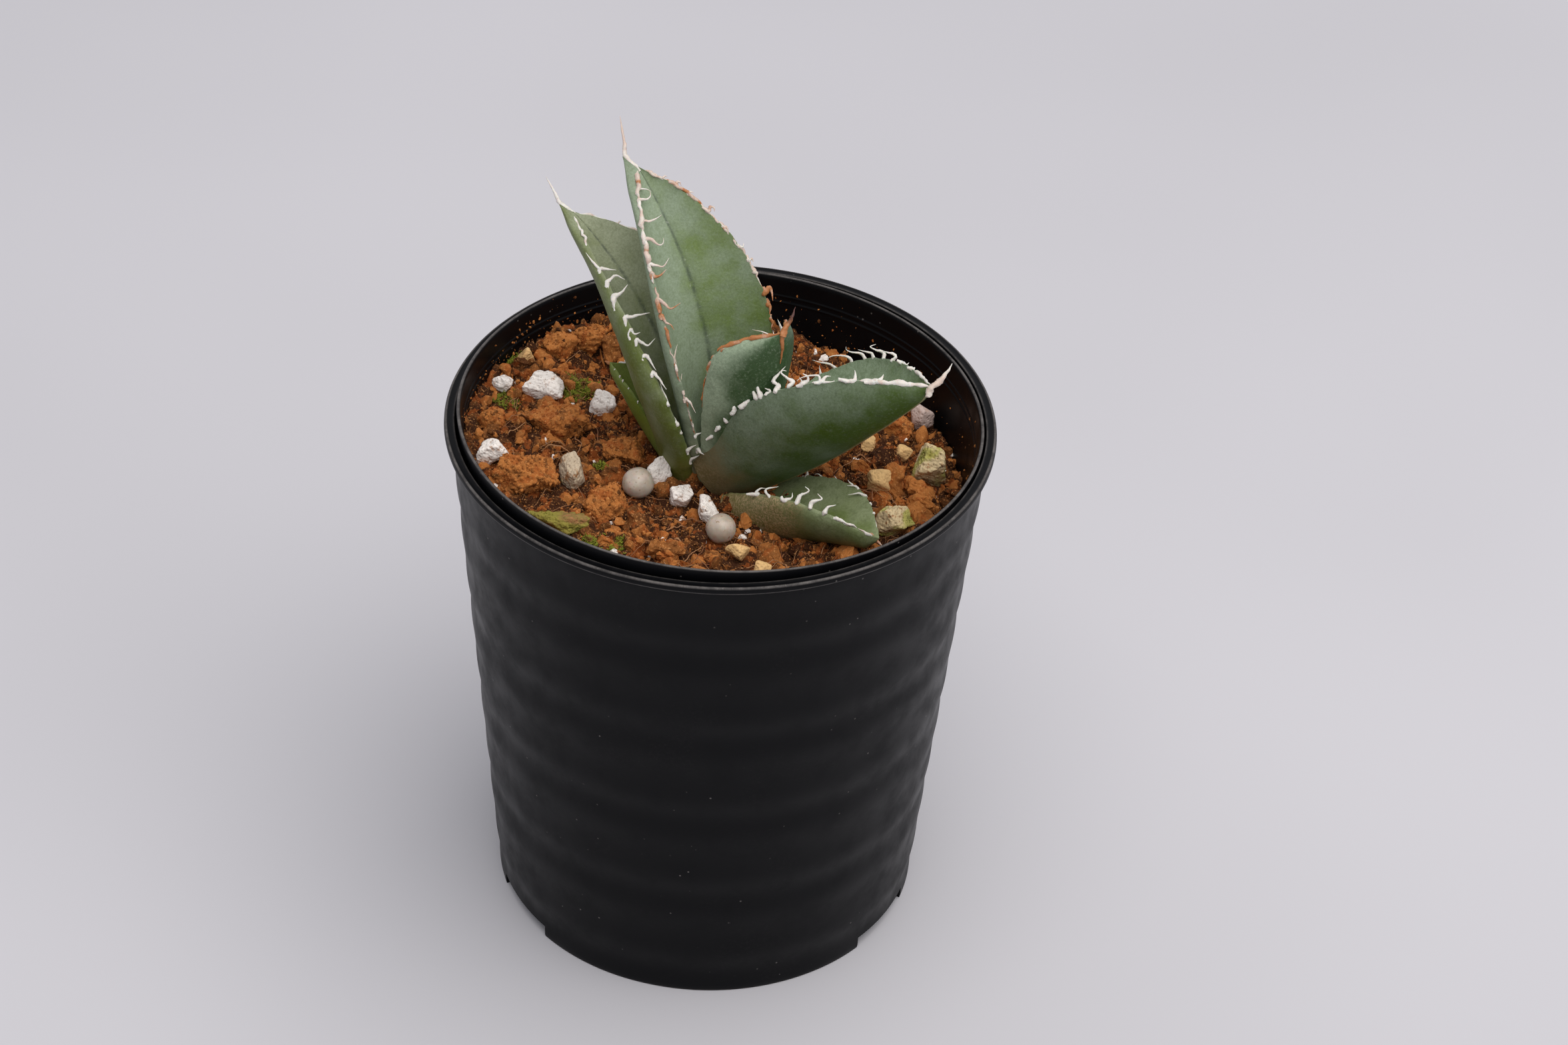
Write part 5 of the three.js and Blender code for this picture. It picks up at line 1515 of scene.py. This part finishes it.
class AGAVE_OT_potting_mix(bpy.types.Operator):
    """Build the planting mix: lumpy bed, strewn crumbs and root fibres"""

    bl_idname = "agave.potting_mix"
    bl_label = "Planting Mix"

    def execute(self, context):
        s = settings_of(context).mix
        # Lit and shaded copies of one earth: the lighter copy, on the coarse crumbs, lumps and chips, is
        # painted light, and the darker copy, on the bed beneath them, is painted shade between the crumbs.
        earth, dry_and_lit = mix_earth(s, "mix_earth"), mix_earth(s, "dry_earth", 0.2)
        deep = mix_earth(s, "deep_earth", -0.22)
        pale = stone_finish("pale_bits", tuple(s.perlite), (0.3, 0.15, 0.06), s.moss, 0.9)
        bed = mix_bed(deep)
        tree = strewn_tree()
        many = s.crumb_count * 1e4
        grades = (
            ("fine", dict(density=0.8 * many, radius=0.5 * s.crumb_size, smallest=0.00012, stretch=1.3,
                          flatness=0.7, facets=1, seed=3)),
            ("coarse", dict(density=0.16 * many, radius=1.6 * s.crumb_size, smallest=0.0004,
                            stretch=1.2, flatness=0.8, facets=2, seed=5)),
            ("lumps", dict(density=2.6e4, radius=0.0028, smallest=0.001, stretch=1.2,
                           flatness=0.75, facets=4, seed=21)),
            ("bits", dict(density=1.6e4, radius=0.0009, smallest=0.0003, stretch=1.3,
                          flatness=0.8, facets=2, seed=34)),
            ("chips", dict(density=0.05 * many, radius=0.8 * s.crumb_size, smallest=0.00025,
                           stretch=3.2, flatness=0.4, facets=1, seed=8)),
        )
        p = mesh_points(bed)
        x, y, z = p.T
        top = (z > STREWN["lowest"]) * (np.hypot(x, y) < STREWN["radius"])
        clear = (1 - near_grains(x, y)) * (1 - 0.8 * dipped(x, y)[1])
        inside = np.hypot(x, y) < STREWN["lump_radius"]
        open_ground = np.hypot(x - ROSETTE[0], y - ROSETTE[1]) > STREWN["bare_radius"]
        for grade, sizes in grades:
            cover = top * (clear * inside * open_ground if grade == "lumps" else 0.15 + 0.85 * clear)
            look = {"fine": earth, "bits": pale}.get(grade, dry_and_lit)
            strew(f"potting_mix_{grade}", bed, cover, tree, "potting_mix", look, ["potting_mix"], **sizes)
        finish_piece(bed, deep, ["potting_mix"])
        moss, tufts = moss_finish(s), tuft_tree()
        cover = sum(share * np.clip(1.6 - 1.6 * np.hypot(x - at, y - beside) / reach, 0, 1)
                    for at, beside, reach, share in MOSS_PATCHES)
        cover = cover * (noise(p, 1.1, 3) > -0.2) * (z > STREWN["moss_lowest"])
        strew("potting_mix_moss", bed, cover, tufts, "moss_clump_grain", moss, smooth=True,
              density=6e7, length=0.0007, seed=2)
        fibres = lines_object("potting_mix_fibres", root_fibres())
        hair = fibre_finish()
        grow(fibres, horn_tree(), sides=5, material=hair)
        finish_piece(fibres, hair)
        return {"FINISHED"}


class AGAVE_OT_grains(bpy.types.Operator):
    """Build the stones, clods, perlite and fertiliser beads lying in the mix"""

    bl_idname = "agave.grains"
    bl_label = "Stones and Grains"

    def execute(self, context):
        s = settings_of(context).mix
        brown = (0.13, 0.05, 0.02)
        finishes = {
            "perlite": stone_finish("perlite", tuple(s.perlite), brown, s.moss, 0.75),
            "stone_pink": stone_finish("stone_pink", (0.62, 0.48, 0.43), brown, s.moss, 0.3),
            "clod": mix_earth(s, "clod_earth", 0.5, 0.3),
            "pumice": stone_finish("pumice", (0.56, 0.45, 0.32), brown, (0.3, 0.28, 0.05), 0.9),
            "fertiliser": prill_finish(),
            "moss_clump": stone_finish("moss_clump", (0.26, 0.17, 0.05), brown, (0.26, 0.23, 0.04), 0.9),
            "pebble": stone_finish("pebble", (0.78, 0.5, 0.22), (0.35, 0.15, 0.05), s.moss, 0.45),
            "stone_mossy": stone_finish("stone_mossy", (0.68, 0.53, 0.31), brown, (0.42, 0.4, 0.09), 0.9),
        }
        moss, tufts, crumbs = moss_finish(s), tuft_tree(), strewn_tree()
        counts = {}
        for seed, row in enumerate(GRAINS):
            kind = row[0]
            counts[kind] = counts.get(kind, 0) + 1
            node = f"{kind}_{counts[kind]}"
            points, faces = grain_points(row, seed)
            mossy = MOSSY.get(kind, 0) * np.clip(0.75 + 0.8 * noise(points, 2.4, 3 + seed), 0, 1.4)
            cover = np.clip(mossy - 0.72, 0, 1)
            shade = cells(points, 0.8, 7)[1]
            stone = new_object(f"{node}_body", points, faces,
                               attributes={"shade": shade, "mossy": mossy, "cover": cover})
            finish_piece(stone, finishes[kind], [node])
            if kind == "clod":
                strew(f"{node}_grit", stone, np.ones(len(points)), crumbs, "clod_grain", finishes[kind],
                      density=2.6e6, radius=0.00042, smallest=0.0001, stretch=1.2, flatness=0.8,
                      facets=1, seed=seed)
            if MOSSY.get(kind, 0) > TUFTED:
                strew(f"{node}_moss", stone, cover, tufts, "moss_clump_grain", moss, smooth=True,
                      density=3e7, length=0.0003, seed=seed)
        return {"FINISHED"}


class AGAVE_OT_stem(bpy.types.Operator):
    """Build the short stem that the leaves grow from"""

    bl_idname = "agave.stem"
    bl_label = "Stem"

    def execute(self, context):
        s = STEM
        rows, spokes = 60, 48
        profile = [(0, s["bottom"]), (s["root_radius"], s["bottom"]),
                   (s["radius"], s["bottom"] + s["radius"]), (s["radius"], s["shoulder"]),
                   (s["neck_radius"], s["top"]), (0, s["top"])]
        heights = np.array([p[1] for p in profile])
        radii = np.array([p[0] for p in profile])
        length = np.concatenate([[0], np.cumsum(np.hypot(np.diff(heights), np.diff(radii)))])
        even = np.linspace(0, length[-1], rows)
        r, z = np.interp(even, length, radii), np.interp(even, length, heights)
        turn = np.linspace(0, 2 * np.pi, spokes, endpoint=False)
        x = ROSETTE[0] + r[:, None] * np.cos(turn)
        y = ROSETTE[1] + r[:, None] * np.sin(turn)
        points = np.stack([x, y, np.broadcast_to(z[:, None], x.shape)], -1)
        points += 0.12 * rough(points, 1.5, 2, 4)[..., None] * unit(points - [*ROSETTE, 75])
        stem = new_object("stem_body", points.reshape(-1, 3), ring_faces(rows - 1, spokes))
        shape = bmesh.new()
        shape.from_mesh(stem.data)
        bmesh.ops.remove_doubles(shape, verts=shape.verts, dist=1e-6)
        bmesh.ops.holes_fill(shape, edges=shape.edges)
        bmesh.ops.recalc_face_normals(shape, faces=shape.faces)
        shape.to_mesh(stem.data)
        shape.free()
        f = Finish("stem_skin", (0.2, 0.24, 0.05), 0.75)
        f.over(f.level(f.noise(1.4, 4), 0.4, 0.65), (0.16, 0.09, 0.03))
        finish_piece(stem, f.done(), ["stem"])
        return {"FINISHED"}


class AGAVE_OT_leaves(bpy.types.Operator):
    """Build the six leaves, each a fleshy blade with its horny margin, teeth and spine"""

    bl_idname = "agave.leaves"
    bl_label = "Leaves"

    def execute(self, context):
        s = settings_of(context).leaf
        horn, tree = horn_finish(s), horn_tree()
        for seed, (name, leaf) in enumerate(LEAVES.items()):
            skin = leaf_skin(f"{name}_skin", **LEAF_LOOKS[name])
            finish_piece(leaf_blade(name, leaf, seed), skin, [name], sharp=60)
            teeth = grow(leaf_horn(name, leaf, seed), tree, sides=8, material=horn)
            finish_piece(teeth, horn, [name])
        return {"FINISHED"}


CAMERA = dict(place=(0, -518.86, 470.68), target=(11.092, 0, 73.207), roll=0.051, sensor=36)


def photo_camera(lens):
    """Camera at the photo's viewing angle."""
    place, target = np.array(CAMERA["place"]), np.array(CAMERA["target"])
    ahead = unit(target - place)
    right = unit(np.cross(ahead, (0, 0, 1)))
    up = np.cross(right, ahead)
    c, s = math.cos(CAMERA["roll"]), math.sin(CAMERA["roll"])
    right, up = c * right + s * up, c * up - s * right
    camera = bpy.data.cameras.new("photo_camera")
    camera.lens, camera.sensor_width = lens, CAMERA["sensor"]
    camera.clip_start, camera.clip_end = 0.01, 20
    thing = linked("photo_camera", camera)
    thing.matrix_world = Matrix(np.array([
        [*row, place[i] * MM] for i, row in enumerate(np.stack([right, up, -ahead], 1))
    ] + [[0, 0, 0, 1]]).tolist())
    bpy.context.scene.camera = thing


class AGAVE_OT_stage(bpy.types.Operator):
    """Set the floor, the soft light and the camera"""

    bl_idname = "agave.stage"
    bl_label = "Stage"

    def execute(self, context):
        s = settings_of(context).stage
        size, reach = 96, 2500.0
        turn = np.linspace(0, 2 * np.pi, size, endpoint=False)
        ring = np.stack([reach * np.cos(turn), reach * np.sin(turn), 0 * turn], -1)
        floor = new_object("studio_floor", ring, [tuple(range(size))])
        f = Finish("studio_floor", s.floor, 0.6, Specular_IOR_Level=0.2)
        f.over(f.level(f.noise(260, 2), 0.3, 0.7), toned(s.floor, 0.93))
        floor.data.materials.append(f.done())

        lamp = bpy.data.lights.new("soft_light", "AREA")
        lamp.shape, lamp.size, lamp.size_y = "RECTANGLE", 1.5, 1.3
        lamp.energy = s.lamp_power
        lamp.color = (1.0, 0.97, 0.93)
        light = linked("soft_light", lamp)
        light.location = (0.27, -0.3, 1.2)
        aim = Vector((0, 0, 0.08)) - Vector(light.location)
        light.rotation_euler = aim.to_track_quat("-Z", "Y").to_euler()

        world = bpy.data.worlds.new("studio_air")
        world.use_nodes = True
        air = world.node_tree.nodes["Background"]
        air.inputs["Color"].default_value = (0.82, 0.83, 0.88, 1)
        air.inputs["Strength"].default_value = 0.66
        context.scene.world = world
        context.scene.view_settings.view_transform = "Standard"
        photo_camera(s.lens)
        return {"FINISHED"}


class AGAVE_PT_panel(bpy.types.Panel):
    """Buttons for each group of pieces"""

    bl_label = "Potted Agave"
    bl_space_type = "VIEW_3D"
    bl_region_type = "UI"
    bl_category = "Agave"

    def draw(self, context):
        for operator in OPERATORS:
            self.layout.operator(operator.bl_idname)
        for part in ("pot", "mix", "leaf", "stage"):
            group = getattr(settings_of(context), part)
            box = self.layout.box()
            for key in group.bl_rna.properties.keys():
                if key not in ("rna_type", "name"):
                    box.prop(group, key)


OPERATORS = (AGAVE_OT_outer_pot, AGAVE_OT_inner_pot, AGAVE_OT_potting_mix, AGAVE_OT_grains,
             AGAVE_OT_stem, AGAVE_OT_leaves, AGAVE_OT_stage)
CLASSES = (PotSettings, MixSettings, LeafSettings, StageSettings, AgaveSettings, *OPERATORS,
           AGAVE_PT_panel)


def register():
    for item in CLASSES:
        bpy.utils.register_class(item)
    bpy.types.Scene.agave = PointerProperty(type=AgaveSettings)


def unregister():
    del bpy.types.Scene.agave
    for item in reversed(CLASSES):
        bpy.utils.unregister_class(item)


def main():
    register()
    for operator in OPERATORS:
        group, name = operator.bl_idname.split(".")
        getattr(getattr(bpy.ops, group), name)()


if __name__ == "__main__":
    main()
